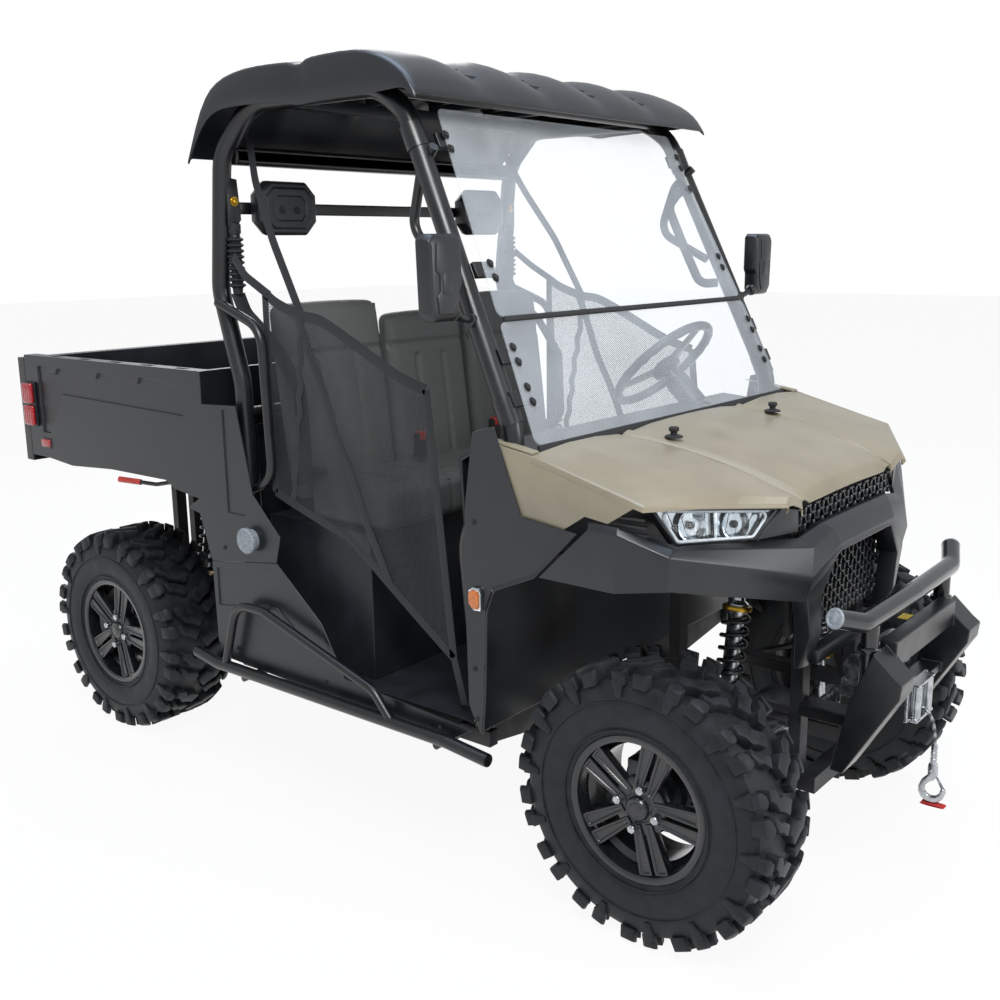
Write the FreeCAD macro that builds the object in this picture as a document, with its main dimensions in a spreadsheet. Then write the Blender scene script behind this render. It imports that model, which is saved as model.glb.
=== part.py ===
import FreeCAD, Part
import math
import os

import Sketcher
from FreeCAD import Placement, Rotation, Vector

# A two-seat side by side utility vehicle. It faces -Y, its left side is +X and up is +Z.
# The origin lies on the ground under the middle of the vehicle. All sizes are in millimetres.

SIZES = [
    # Running gear
    ("wheelbase", 1920),
    ("axle_shift", 10),
    ("front_track", 1006),
    ("rear_track", 990),
    ("tyre_diameter", 635),
    ("front_tyre_width", 205),
    ("rear_tyre_width", 238),
    ("lug_height", 19),
    ("lug_length", 62),
    ("rim_flange_radius", 169),
    ("rim_wall", 6),
    ("hub_radius", 46),
    ("disc_radius", 100),
    ("kingpin_half_track", 428),
    ("knuckle_half_height", 100),
    ("steering_arm", 85),
    ("wishbone_tube", 25),
    ("wishbone_spread", 125),
    ("shock_radius", 34),
    ("shock_top_height", 745),
    ("shaft_radius", 13),
    # Frame
    ("rail_offset", 150),
    ("rail_width", 40),
    ("rail_height", 40),
    ("rail_bottom", 250),
    ("frame_front", -1165),
    ("frame_back", 1240),
    ("tower_height", 770),
    ("side_rail_offset", 560),
    ("cab_front", -560),
    ("cab_back", 330),
    ("floor_height", 404),
    ("panel_wall", 4),
    ("panel_gap", 0.5),
    # Roll cage
    ("cage_tube", 48),
    ("cage_bend", 130),
    ("cage_base_half_width", 600),
    ("cage_top_half_width", 560),
    ("cage_top_height", 1845),
    ("pillar_foot_y", -655),
    ("pillar_foot_height", 1060),
    ("pillar_top_y", -285),
    ("post_y", 330),
    ("cross_bar_tube", 32),
    ("headrest_height", 1590),
    ("headrest_width", 210),
    ("headrest_tall", 140),
    ("headrest_deep", 55),
    ("headrest_offset", 400),
    # Roof
    ("roof_half_width", 622),
    ("roof_height", 1900),
    ("roof_front_y", -395),
    ("roof_back_y", 405),
    ("roof_droop", 185),
    ("roof_rib", 30),
    ("roof_wall", 5),
    # Windshield
    ("screen_foot_y", -690),
    ("screen_foot_height", 1062),
    ("screen_foot_half_width", 590),
    ("screen_top_y", -340),
    ("screen_top_height", 1786),
    ("screen_top_half_width", 495),
    ("screen_split", 0.37),
    ("screen_wall", 5),
    # Bonnet, wings and nose
    ("hood_back_y", -712),
    ("hood_back_height", 1062),
    ("hood_front_y", -1140),
    ("hood_front_height", 950),
    ("lid_back_half_width", 300),
    ("lid_front_half_width", 250),
    ("lid_seam", 6),
    ("wing_half_width", 642),
    ("wing_corner_y", -985),
    ("wing_corner_height", 992),
    ("hood_wall", 4),
    ("fascia_front_y", -1192),
    ("fascia_half_width", 250),
    ("fascia_bottom", 565),
    ("fender_half_width", 646.3),
    # Bumper, winch and bull bar
    ("bumper_front_y", -1379),
    ("bumper_half_width", 260),
    ("bumper_bottom", 364),
    ("bull_bar_tube", 44),
    ("bull_bar_height", 717),
    ("bull_bar_half_width", 355),
    ("bull_bar_post", 38),
    ("bull_bar_post_offset", 225),
    ("rope_radius", 4),
    # Cab
    ("seat_front_y", -140),
    ("seat_base_height", 790),
    ("cushion_thick", 120),
    ("cushion_height", 905),
    ("seat_back_thick", 95),
    ("seat_back_height", 1350),
    ("seat_half_width", 552),
    ("dash_back_y", -450),
    ("steering_x", 358),
    ("steering_y", -428),
    ("steering_height", 1150),
    ("steering_wheel_radius", 172),
    ("steering_grip", 13),
    ("column_slope", 45),
    ("mirror_height", 178),
    # Rear body and bed
    ("body_half_width", 640),
    ("corner_top", 1084),
    ("bed_front_y", 412),
    ("bed_back_y", 1312),
    ("bed_half_width", 655),
    ("bed_floor_height", 850),
    ("bed_rail_height", 1169),
    ("bed_wall", 12),
    ("bed_skid", 22),
    ("hinge_pin", 16),
    ("bed_rail_width", 75),
    ("bed_relief", 6),
    ("panel_relief", 4),
    ("fender_flare", 10),
    ("tailgate_thick", 38),
    ("hitch_back_y", 1379),
    ("receiver_bore", 51),
]


class Size:
    """A length that knows its number and the sheet formula that gives it."""

    def __init__(self, number, formula):
        self.number = number
        self.formula = formula

    def __float__(self):
        return self.number

    def __neg__(self):
        return Size(-self.number, "-(%s)" % self.formula)

    def __add__(self, other):
        return Size(self.number + number(other), "(%s + %s)" % (self.formula, formula(other)))

    def __radd__(self, other):
        return Size(number(other) + self.number, "(%s + %s)" % (formula(other), self.formula))

    def __sub__(self, other):
        return Size(self.number - number(other), "(%s - (%s))" % (self.formula, formula(other)))

    def __rsub__(self, other):
        return Size(number(other) - self.number, "(%s - (%s))" % (formula(other), self.formula))

    def __mul__(self, other):
        return Size(self.number * number(other), "(%s) * (%s)" % (self.formula, formula(other)))

    def __rmul__(self, other):
        return Size(number(other) * self.number, "(%s) * (%s)" % (formula(other), self.formula))

    def __truediv__(self, other):
        return Size(self.number / number(other), "(%s) / (%s)" % (self.formula, formula(other)))


def number(value):
    return float(value)


def formula(value):
    return value.formula if isinstance(value, Size) else repr(float(value))


def spot(x, y, z):
    return Vector(number(x), number(y), number(z))


class Sheet:
    """The named sizes, read back from the spreadsheet."""


doc = FreeCAD.newDocument("side_by_side")
sheet = doc.addObject("Spreadsheet::Sheet", "sizes")
for row, (alias, value) in enumerate(SIZES, 1):
    sheet.set("A%d" % row, str(value))
    sheet.setAlias("A%d" % row, alias)
doc.recompute()
size = Sheet()
for alias, value in SIZES:
    setattr(size, alias, Size(float(sheet.get(alias)), "sizes." + alias))

nodes = {}


def keep(label, thing):
    """Registers an object of the document as a sub-part with its own label."""
    thing.Label = label
    nodes[label] = thing
    return thing


def feature(label, shape, placement=None):
    """A sub-part whose shape is worked out here from the sheet's sizes."""
    thing = doc.addObject("Part::Feature", label)
    thing.Shape = shape
    thing.Placement = placement or Placement()
    return keep(label, thing)


# Solid builders for shapes that follow a line in space


def box(low, high):
    """An upright block between two corners."""
    span = high - low
    return Part.makeBox(span.x, span.y, span.z, low)


def rod(start, end, radius):
    along = end - start
    return Part.makeCylinder(number(radius), along.Length, start, along)


def bend_at(before, corner, after, bend):
    """Where a bend starts and ends, with its radius, centre and turn in radians."""
    back = (before - corner).normalize()
    ahead = (after - corner).normalize()
    half = back.getAngle(ahead) / 2
    room = 0.45 * min((before - corner).Length, (after - corner).Length)
    reach = min(number(bend) / math.tan(half), room)
    radius = reach * math.tan(half)
    centre = corner + (back + ahead).normalize() * (radius / math.sin(half))
    return corner + back * reach, corner + ahead * reach, radius, centre, math.pi - 2 * half


def cord_tube(label, points, radius):
    """A cord's tube: straight runs joined by the largest tangent arcs that they leave room for."""
    edges, turns = [], []
    at = points[0]
    for before, corner, after in zip(points, points[1:], points[2:]):
        start, end, turn_radius, centre, turn = bend_at(before, corner, after, 10000)
        inner = centre + (corner - centre).normalize() * turn_radius
        edges.append(Part.LineSegment(at, start).toShape())
        edges.append(Part.Arc(start, inner, end).toShape())
        turns.append(round(turn_radius, 1))
        at = end
    edges.append(Part.LineSegment(at, points[-1]).toShape())
    path = Part.Wire(edges)
    ring = Part.Wire([Part.makeCircle(number(radius), points[0], points[1] - points[0])])
    shape = path.makePipeShell([ring], True, False)
    full = math.pi * number(radius) ** 2 * path.Length
    print(label, "radii in mm", turns, "length", round(path.Length, 1), "volume share", round(shape.Volume / full, 4))
    if abs(shape.Volume / full - 1) > 0.01:
        raise RuntimeError("the tube of %s isn't its section times its length" % label)
    return shape


BEND_STEP = math.radians(26)


def bent_tube(points, radius, bend):
    """A round tube along straight runs, each bend taken in a few mitred steps."""
    stops = [points[0]]
    for before, corner, after in zip(points, points[1:], points[2:]):
        start, end, turn_radius, centre, turn = bend_at(before, corner, after, bend)
        steps = max(1, round(turn / BEND_STEP))
        axis = (start - centre).cross(end - centre).normalize()
        reach = turn_radius / math.cos(turn / steps / 2)
        for step in range(steps):
            swing = Rotation(axis, math.degrees(turn * (step + 0.5) / steps))
            stops.append(centre + swing.multVec((start - centre).normalize() * reach))
    stops.append(points[-1])
    ring = Part.Wire([Part.makeCircle(number(radius), points[0], points[1] - points[0])])
    return Part.makePolygon(stops).makePipeShell([ring], True, False, 1)


def flat_plate(corners, wall):
    """A flat plate of even thickness; wall is a vector from its first face to its second."""
    return Part.Face(Part.makePolygon(corners + [corners[0]])).extrude(wall)


def side_plate(outline, x_from, x_to):
    """A plate in the side view: outline is a list of (y, z), thick from one x to another."""
    corners = [spot(x_from, y, z) for y, z in outline]
    return flat_plate(corners, Vector(number(x_to) - number(x_from), 0, 0))


def front_plate(outline, y_from, y_to):
    """A plate in the front view: outline is a list of (x, z)."""
    corners = [spot(x, y_from, z) for x, z in outline]
    return flat_plate(corners, Vector(0, number(y_to) - number(y_from), 0))


def loft(sections, ruled=True):
    """A solid through closed polygons that have the same number of corners."""
    wires = [Part.makePolygon(corners + [corners[0]]) for corners in sections]
    return Part.makeLoft(wires, True, ruled)


def mirrored(shape):
    return shape.mirror(Vector(0, 0, 0), Vector(1, 0, 0))


def both_sides(*shapes):
    """The shapes and their mirror images, as solids that stay apart."""
    return Part.makeCompound(list(shapes) + [mirrored(shape) for shape in shapes])


def joined(shapes):
    """One solid from shapes that touch or overlap."""
    return shapes[0].fuse(shapes[1:]).removeSplitter()


def symmetric(shapes):
    """One solid from the shapes and their mirror images."""
    return joined(list(shapes) + [mirrored(shape) for shape in shapes])


def rounded(shape, radius, chosen):
    """Fillets the edges that a test picks."""
    edges = [edge for edge in shape.Edges if chosen(edge)]
    return shape.makeFillet(number(radius), edges) if edges else shape


def runs_along(axis):
    """A test for straight edges along an axis."""

    def test(edge):
        if edge.Curve.TypeId != "Part::GeomLine":
            return False
        return abs(edge.Curve.Direction.dot(axis)) > 0.999

    return test


X_AXIS = Vector(1, 0, 0)
Y_AXIS = Vector(0, 1, 0)
Z_AXIS = Vector(0, 0, 1)


# Part design helpers

NORMALS = {"YZ_Plane": 1, "XZ_Plane": -1, "XY_Plane": 1}


def new_body(label):
    body = doc.addObject("PartDesign::Body", label)
    return keep(label, body)


def plane_of(body, role):
    for item in body.Origin.OriginFeatures:
        if item.Role == role:
            return item
    raise ValueError(role)


def sketch_on(body, role, offset):
    """An empty sketch parallel to one of the body's own planes, at a place along its axis."""
    sketch = body.newObject("Sketcher::SketchObject", "outline")
    sketch.AttachmentSupport = [(plane_of(body, role), "")]
    sketch.MapMode = "FlatFace"
    sketch.setExpression("AttachmentOffset.Base.z", formula(NORMALS[role] * offset))
    return sketch


def bind(sketch, kind, geometry, position, value):
    """One driving dimension of a sketch, bound to the sheet."""
    place = sketch.addConstraint(Sketcher.Constraint(kind, geometry, position, number(value)))
    if isinstance(value, Size):
        sketch.setExpression("Constraints[%d]" % place, formula(value))


def draw_outline(sketch, corners):
    """A closed outline of straight lines with every corner dimensioned from the origin."""
    first = sketch.GeometryCount
    count = len(corners)
    spots = [Vector(number(u), number(v), 0) for u, v in corners]
    for i in range(count):
        sketch.addGeometry(Part.LineSegment(spots[i], spots[(i + 1) % count]))
    for i in range(count):
        after = first + (i + 1) % count
        sketch.addConstraint(Sketcher.Constraint("Coincident", first + i, 2, after, 1))
    for i, (u, v) in enumerate(corners):
        bind(sketch, "DistanceX", first + i, 1, u)
        bind(sketch, "DistanceY", first + i, 1, v)


def draw_circle(sketch, u, v, radius):
    centre = Vector(number(u), number(v), 0)
    place = sketch.addGeometry(Part.Circle(centre, Vector(0, 0, 1), number(radius)))
    bind(sketch, "DistanceX", place, 3, u)
    bind(sketch, "DistanceY", place, 3, v)
    one = sketch.addConstraint(Sketcher.Constraint("Radius", place, number(radius)))
    if isinstance(radius, Size):
        sketch.setExpression("Constraints[%d]" % one, formula(radius))


def pad(body, role, low, high, draw):
    """A pad of a drawn outline between two places along the plane's axis."""
    start = low if NORMALS[role] > 0 else high
    sketch = sketch_on(body, role, start)
    draw(sketch)
    thing = body.newObject("PartDesign::Pad", "pad")
    thing.Profile = sketch
    thing.setExpression("Length", formula(high - low))
    body.Tip = thing
    doc.recompute()
    return thing


def pocket(body, role, low, high, draw):
    """A pocket of a drawn outline between two places along the plane's axis."""
    before = body.Shape.Volume
    start = high if NORMALS[role] > 0 else low
    sketch = sketch_on(body, role, start)
    draw(sketch)
    thing = body.newObject("PartDesign::Pocket", "pocket")
    thing.Profile = sketch
    thing.setExpression("Length", formula(high - low))
    body.Tip = thing
    doc.recompute()
    if not body.Shape.Volume < before:
        raise ValueError("a pocket of %s cuts nothing" % body.Label)
    return thing


def fillet(body, radius, chosen):
    """Rounds the picked edges of the body as it stands."""
    base = body.Tip
    names = ["Edge%d" % (i + 1) for i, edge in enumerate(base.Shape.Edges) if chosen(edge)]
    thing = body.newObject("PartDesign::Fillet", "round")
    thing.Base = (base, names)
    thing.setExpression("Radius", formula(radius))
    body.Tip = thing
    doc.recompute()
    return thing


def revolve(body, role, offset, axis, draw):
    sketch = sketch_on(body, role, offset)
    draw(sketch)
    thing = body.newObject("PartDesign::Revolution", "turned")
    thing.Profile = sketch
    thing.ReferenceAxis = (sketch, [axis])
    thing.Angle = 360
    body.Tip = thing
    doc.recompute()
    return thing


def polar(body, originals, count):
    """Repeats features round the body's own X axis."""
    axis = [item for item in body.Origin.OriginFeatures if item.Role == "X_Axis"][0]
    thing = body.newObject("PartDesign::PolarPattern", "ring")
    thing.Originals = originals
    thing.Axis = (axis, [""])
    thing.Angle = 360
    thing.Occurrences = count
    body.Tip = thing
    doc.recompute()
    return thing


def mirror_pair(label, source):
    """The source object and its mirror image as one sub-part of two solids."""
    other = doc.addObject("Part::Mirroring", label + "_other")
    other.Source = source
    other.Normal = Vector(1, 0, 0)
    pair = doc.addObject("Part::Compound", label)
    pair.Links = [source, other]
    doc.recompute()
    return keep(label, pair)


# Places that many pieces share

hub_height = size.tyre_diameter / 2
front_axle = size.axle_shift - size.wheelbase / 2
rear_axle = size.axle_shift + size.wheelbase / 2
rail_top = size.rail_bottom + size.rail_height
side_rail_top = size.floor_height - size.panel_wall - 15
side_rail_low = side_rail_top - 40
seat_gap = 0.3
cage_foot_gap = seat_gap + 1.6
cage_radius = size.cage_tube / 2
tube_radius = size.wishbone_tube / 2

CORNERS = {
    "front_left": (front_axle, size.front_track / 2, size.front_tyre_width, 0),
    "front_right": (front_axle, -size.front_track / 2, size.front_tyre_width, 180),
    "rear_left": (rear_axle, size.rear_track / 2, size.rear_tyre_width, 0),
    "rear_right": (rear_axle, -size.rear_track / 2, size.rear_tyre_width, 180),
}


def place_wheel(thing, corner):
    """Sets a wheel piece, drawn round its own X axis with +X outward, at its corner."""
    axle_y, hub_x, width, turn = CORNERS[corner]
    thing.Placement = Placement(Vector(), Rotation(Z_AXIS, turn))
    thing.setExpression(".Placement.Base.x", formula(hub_x))
    thing.setExpression(".Placement.Base.y", formula(axle_y))
    thing.setExpression(".Placement.Base.z", formula(hub_height))


LUG_PITCHES = 16


def polygon_ring(x, radius):
    """The corners of a regular polygon round the X axis, with flats as wide as one lug pitch."""
    step = 2 * math.pi / LUG_PITCHES
    reach = number(radius) / math.cos(step / 2)
    turns = [step * (i + 0.5) for i in range(LUG_PITCHES)]
    return [Vector(number(x), reach * math.sin(turn), reach * math.cos(turn)) for turn in turns]


def ring_solid(profile):
    """A closed ring with flat faces, from (x, radius) corners that go round its section."""
    rings = [polygon_ring(x, radius) for x, radius in profile]
    faces = []
    for first, second in zip(rings, rings[1:] + rings[:1]):
        for i in range(LUG_PITCHES):
            after = (i + 1) % LUG_PITCHES
            corners = [first[i], first[after], second[after], second[i]]
            faces.append(Part.Face(Part.makePolygon(corners + [corners[0]])))
    solid = Part.Solid(Part.Shell(faces))
    if solid.Volume < 0:
        solid.reverse()
    return solid


def make_tyre(width):
    """A knobbly tyre round its own X axis: a flat-sided carcass with bent lugs over its shoulders."""
    half = number(width) / 2
    top = number(size.tyre_diameter) / 2
    crown = top - number(size.lug_height)
    bead = number(size.rim_flange_radius - size.rim_wall) - 0.2
    bead_x = half * 0.88 - number(size.rim_wall) * 2 + 4
    carcass = ring_solid(
        [
            (bead_x, bead),
            (half * 0.94, crown * 0.76),
            (half * 0.88, crown * 0.92),
            (half * 0.52, crown),
            (-half * 0.52, crown),
            (-half * 0.88, crown * 0.92),
            (-half * 0.94, crown * 0.76),
            (-bead_x, bead),
            (0, bead + 24),
        ]
    )
    pitch = 2 * math.pi * crown / LUG_PITCHES
    slant = number(size.lug_length) * 0.28
    wide = pitch * 0.21
    lugs = []
    for i in range(LUG_PITCHES):
        for side in (1, -1):
            middle = side * pitch * 0.25
            outline = [
                (side * half * 0.05, middle - wide),
                (side * half * 0.97, middle - wide + slant * 0.3),
                (side * half * 0.97, middle + wide),
                (side * half * 0.50, middle + wide),
                (side * half * 0.05, middle - slant * 0.3),
            ]
            corners = [Vector(x, y, crown * 0.87) for x, y in outline]
            lug = flat_plate(corners, Vector(0, 0, top - crown * 0.87))
            lugs.append(lug.rotate(Vector(), X_AXIS, 360.0 * i / LUG_PITCHES))
    return joined([carcass] + lugs)


TYRES = {"front": make_tyre(size.front_tyre_width), "rear": make_tyre(size.rear_tyre_width)}


def fit_tyre(corner):
    thing = feature(corner + "_tyre", TYRES[corner.split("_")[0]].copy())
    place_wheel(thing, corner)


SPOKES = 5


def make_rim(corner):
    """A cast wheel with five twin spokes, its brake disc bolted behind the hub."""
    axle_y, hub_x, width, turn = CORNERS[corner]
    body = new_body(corner + "_rim")
    half = width / 2
    flange = size.rim_flange_radius
    seat = flange - size.rim_wall - 4
    face = half * 0.88

    def barrel(sketch):
        draw_outline(
            sketch,
            [
                (face, flange),
                (face, seat - size.rim_wall),
                (-face, seat - size.rim_wall),
                (-face, flange),
                (-face + size.rim_wall * 2, seat),
                (face - size.rim_wall * 2, seat),
            ],
        )

    revolve(body, "XZ_Plane", 0 * half, "H_Axis", barrel)
    back = face - 46
    front = face - 14

    def hub(sketch):
        draw_circle(sketch, 0, 0, size.hub_radius)

    pad(body, "YZ_Plane", back - 20, front + 4, hub)

    def twin(sketch):
        reach = seat - size.rim_wall + 2
        for side in (1, -1):
            draw_outline(
                sketch,
                [
                    (side * 9, size.hub_radius * 0.8),
                    (side * 26, size.hub_radius * 0.8),
                    (side * 38, reach * 0.97),
                    (side * 16, reach),
                ][::side],
            )

    spoke = pad(body, "YZ_Plane", back + 8, front, twin)
    polar(body, [spoke], SPOKES)

    def disc(sketch):
        draw_circle(sketch, 0, 0, size.disc_radius)

    pad(body, "YZ_Plane", back - 42, back - 38, disc)

    def neck(sketch):
        draw_circle(sketch, 0, 0, size.hub_radius * 0.8)

    pad(body, "YZ_Plane", back - 39, back - 19, neck)
    place_wheel(body, corner)
    return body


for corner in CORNERS:
    fit_tyre(corner)
    make_rim(corner)


# Running gear

front_hub_back = size.front_track / 2 + size.front_tyre_width / 2 * 0.88 - 46 - 42
rear_hub_back = size.rear_track / 2 + size.rear_tyre_width / 2 * 0.88 - 46 - 42
knuckle_top = hub_height + size.knuckle_half_height
knuckle_bottom = hub_height - size.knuckle_half_height
ball_reach = 14
ball_gap = 0.4
arm_height = hub_height + 34
joint_gap = 5


def make_knuckle(label, axle_y, pin_x, hub_back, arm):
    """An upright with its bearing housing, caliper and, in front, a steering arm."""
    upright = box(
        spot(pin_x - 16, axle_y - 24, knuckle_bottom + ball_reach),
        spot(pin_x + 8, axle_y + 24, knuckle_top - ball_reach),
    )
    housing = rod(
        spot(pin_x - 8, axle_y, hub_height), spot(hub_back - seat_gap, axle_y, hub_height), size.hub_radius * 0.72
    )
    caliper = box(
        spot(pin_x, axle_y + size.hub_radius - 10, hub_height + 10),
        spot(hub_back - joint_gap, axle_y + size.hub_radius + 34, hub_height + 62),
    )
    bracket = box(
        spot(pin_x - 10, axle_y + 10, hub_height + 14), spot(pin_x + 6, axle_y + size.hub_radius, hub_height + 50)
    )
    pieces = [upright, housing, caliper, bracket]
    if arm:
        pieces.append(
            box(
                spot(pin_x - 14, axle_y - size.steering_arm - 14, arm_height),
                spot(pin_x + 6, axle_y, arm_height + 10),
            )
        )
    return joined(pieces)


left_knuckle = make_knuckle("", front_axle, size.kingpin_half_track, front_hub_back, True)
feature("front_left_knuckle", left_knuckle)
feature("front_right_knuckle", mirrored(left_knuckle))
rear_pin_x = size.kingpin_half_track - 16
feature("rear_knuckles", both_sides(make_knuckle("", rear_axle, rear_pin_x, rear_hub_back, False)))


arm_pivot_x = size.rail_offset + size.rail_width / 2 + tube_radius + seat_gap


def wishbone(axle_y, pin_x, height, inner_height, stud, opening):
    """A two-leg arm of box section from the frame rail out to the knuckle's ball joint."""
    pivot_x = number(arm_pivot_x)
    tip_x = number(pin_x) - 4
    slope = Vector(tip_x - pivot_x, 0, number(height) - number(inner_height))
    spread = number(size.wishbone_spread)
    wide = number(size.wishbone_tube)
    deep = number(tube_radius) * 0.8
    crotch = spread * (0.72 - opening * 0.7)
    legs = [
        (0, -spread - wide / 2), (0.93, -wide * 0.55), (0.93, wide * 0.55), (0, spread + wide / 2),
        (0, spread - wide / 2), (opening, crotch), (opening, -crotch), (0, -spread + wide / 2),
    ]
    start = spot(pivot_x, axle_y, number(inner_height) - deep / 2)
    frame = flat_plate([start + slope * share + Vector(0, y, 0) for share, y in legs], Vector(0, 0, deep))
    low, high = stud
    ball = rod(spot(tip_x, axle_y, low), spot(tip_x, axle_y, high), 17)
    pivots = [
        rod(
            spot(pivot_x, number(axle_y) + way * spread - 26, inner_height),
            spot(pivot_x, number(axle_y) + way * spread + 26, inner_height),
            tube_radius,
        )
        for way in (-1, 1)
    ]
    return joined([frame, ball] + pivots)


lower_pivot = size.rail_bottom + size.rail_height * 0.5
upper_pivot = size.rail_bottom + 165
lower_stud = (knuckle_bottom - 8, knuckle_bottom + ball_reach - ball_gap)
upper_stud = (knuckle_top - ball_reach + ball_gap, knuckle_top + 8)
arms = []
for axle_y, pin_x in ((front_axle, size.kingpin_half_track), (rear_axle, rear_pin_x)):
    arms.append(wishbone(axle_y, pin_x, knuckle_bottom, lower_pivot, lower_stud, 0.42))
    arms.append(wishbone(axle_y, pin_x, knuckle_top, upper_pivot, upper_stud, 0.6))
feature("wishbones", both_sides(*arms))
shock_eye = 12
shock_lean_y = 32


def shock(axle_y, pin_x):
    """A coil-over unit from the lower arm up to the frame tower, in front of the drive shaft."""
    y = axle_y - shock_lean_y
    foot_x = size.rail_offset + 147
    run = number(pin_x) - 4 - number(arm_pivot_x)
    fall = (number(lower_pivot) - number(knuckle_bottom)) / run
    arm_top = number(lower_pivot) - fall * number(foot_x - arm_pivot_x) + number(tube_radius) * 0.4
    foot = spot(foot_x, y, arm_top + (shock_eye + seat_gap) * math.hypot(1, fall))
    head = spot(size.rail_offset + 62, y, size.shock_top_height - shock_eye - 0.3)
    along = (head - foot).normalize()
    length = (head - foot).Length
    half = Vector(0, 18, 0)
    pieces = [
        rod(foot - half, foot + half, shock_eye),
        rod(head - half, head + half, shock_eye),
        rod(foot, head, shock_eye * 0.8),
        rod(foot + along * (length * 0.34), foot + along * (length * 0.88), size.shock_radius),
    ]
    return joined(pieces)


def half_shaft(axle_y, inner_x, outer_x, boot):
    """A drive shaft with a boot at each end."""
    start = spot(inner_x, axle_y, hub_height)
    end = spot(outer_x, axle_y, hub_height)
    return joined(
        [
            rod(start, end, size.shaft_radius),
            Part.makeCone(34, 18, 60, start, X_AXIS),
            Part.makeCone(18, boot, 60, end - X_AXIS * 60, X_AXIS),
        ]
    )


feature("shock_absorbers", both_sides(shock(front_axle, size.kingpin_half_track), shock(rear_axle, rear_pin_x)))
case_half_width = 95
feature(
    "half_shafts",
    both_sides(
        half_shaft(front_axle, case_half_width + 0.3, size.kingpin_half_track - 34, 28),
        half_shaft(rear_axle, case_half_width + 0.3, rear_pin_x - 16.3, 32),
    ),
)


def mount_bar(y):
    """A bar that seats a housing between the two long rails."""
    reach = size.rail_offset - size.rail_width / 2 - seat_gap
    return box(spot(-reach, y - 20, size.rail_bottom + 6), spot(reach, y + 20, rail_top - 12))


def gear_case(axle_y, length):
    """A differential housing with a round belly."""
    middle = hub_height
    drum = rod(spot(-case_half_width, axle_y, middle), spot(case_half_width, axle_y, middle), 66)
    nose = rod(spot(0, axle_y, middle), spot(0, axle_y + length, middle), 52)
    return joined([drum, nose, mount_bar(axle_y)])


feature("front_differential", gear_case(front_axle, 150))


def power_unit():
    """Engine and transaxle as one plain block on the rear of the frame."""
    engine = box(
        spot(-size.rail_offset + 30, size.cab_back + 90, size.rail_bottom + 10),
        spot(size.rail_offset - 30, rear_axle - 100, size.rail_bottom + 330),
    )
    case = rod(spot(-case_half_width, rear_axle, hub_height), spot(case_half_width, rear_axle, hub_height), 66)
    link = box(
        spot(-70, rear_axle - 110, size.rail_bottom + 12), spot(70, rear_axle, size.rail_bottom + 100)
    )
    return joined([engine, case, link, mount_bar(size.cab_back + 130), mount_bar(rear_axle)])


feature("power_unit", power_unit())

rack_y = front_axle - size.steering_arm
rod_end_top = arm_height - seat_gap


def tie_rods():
    """The rack bar and its two rods, with flat eyes under the steering arms."""
    height = rod_end_top - 10
    reach = size.kingpin_half_track - 4
    bar = rod(spot(-reach, rack_y, height), spot(reach, rack_y, height), 8)
    pieces = [bar]
    for side in (-1, 1):
        pieces.append(rod(spot(side * reach, rack_y, height - 10), spot(side * reach, rack_y, rod_end_top), 14))
    return joined(pieces)


feature("tie_rods", tie_rods())


hinge_y = size.frame_back - 16
hinge_z = size.bed_floor_height - size.bed_skid - seat_gap + size.hinge_pin / 2 - 1
hinge_ear = size.rail_offset + size.rail_width / 2 + 6


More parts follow.
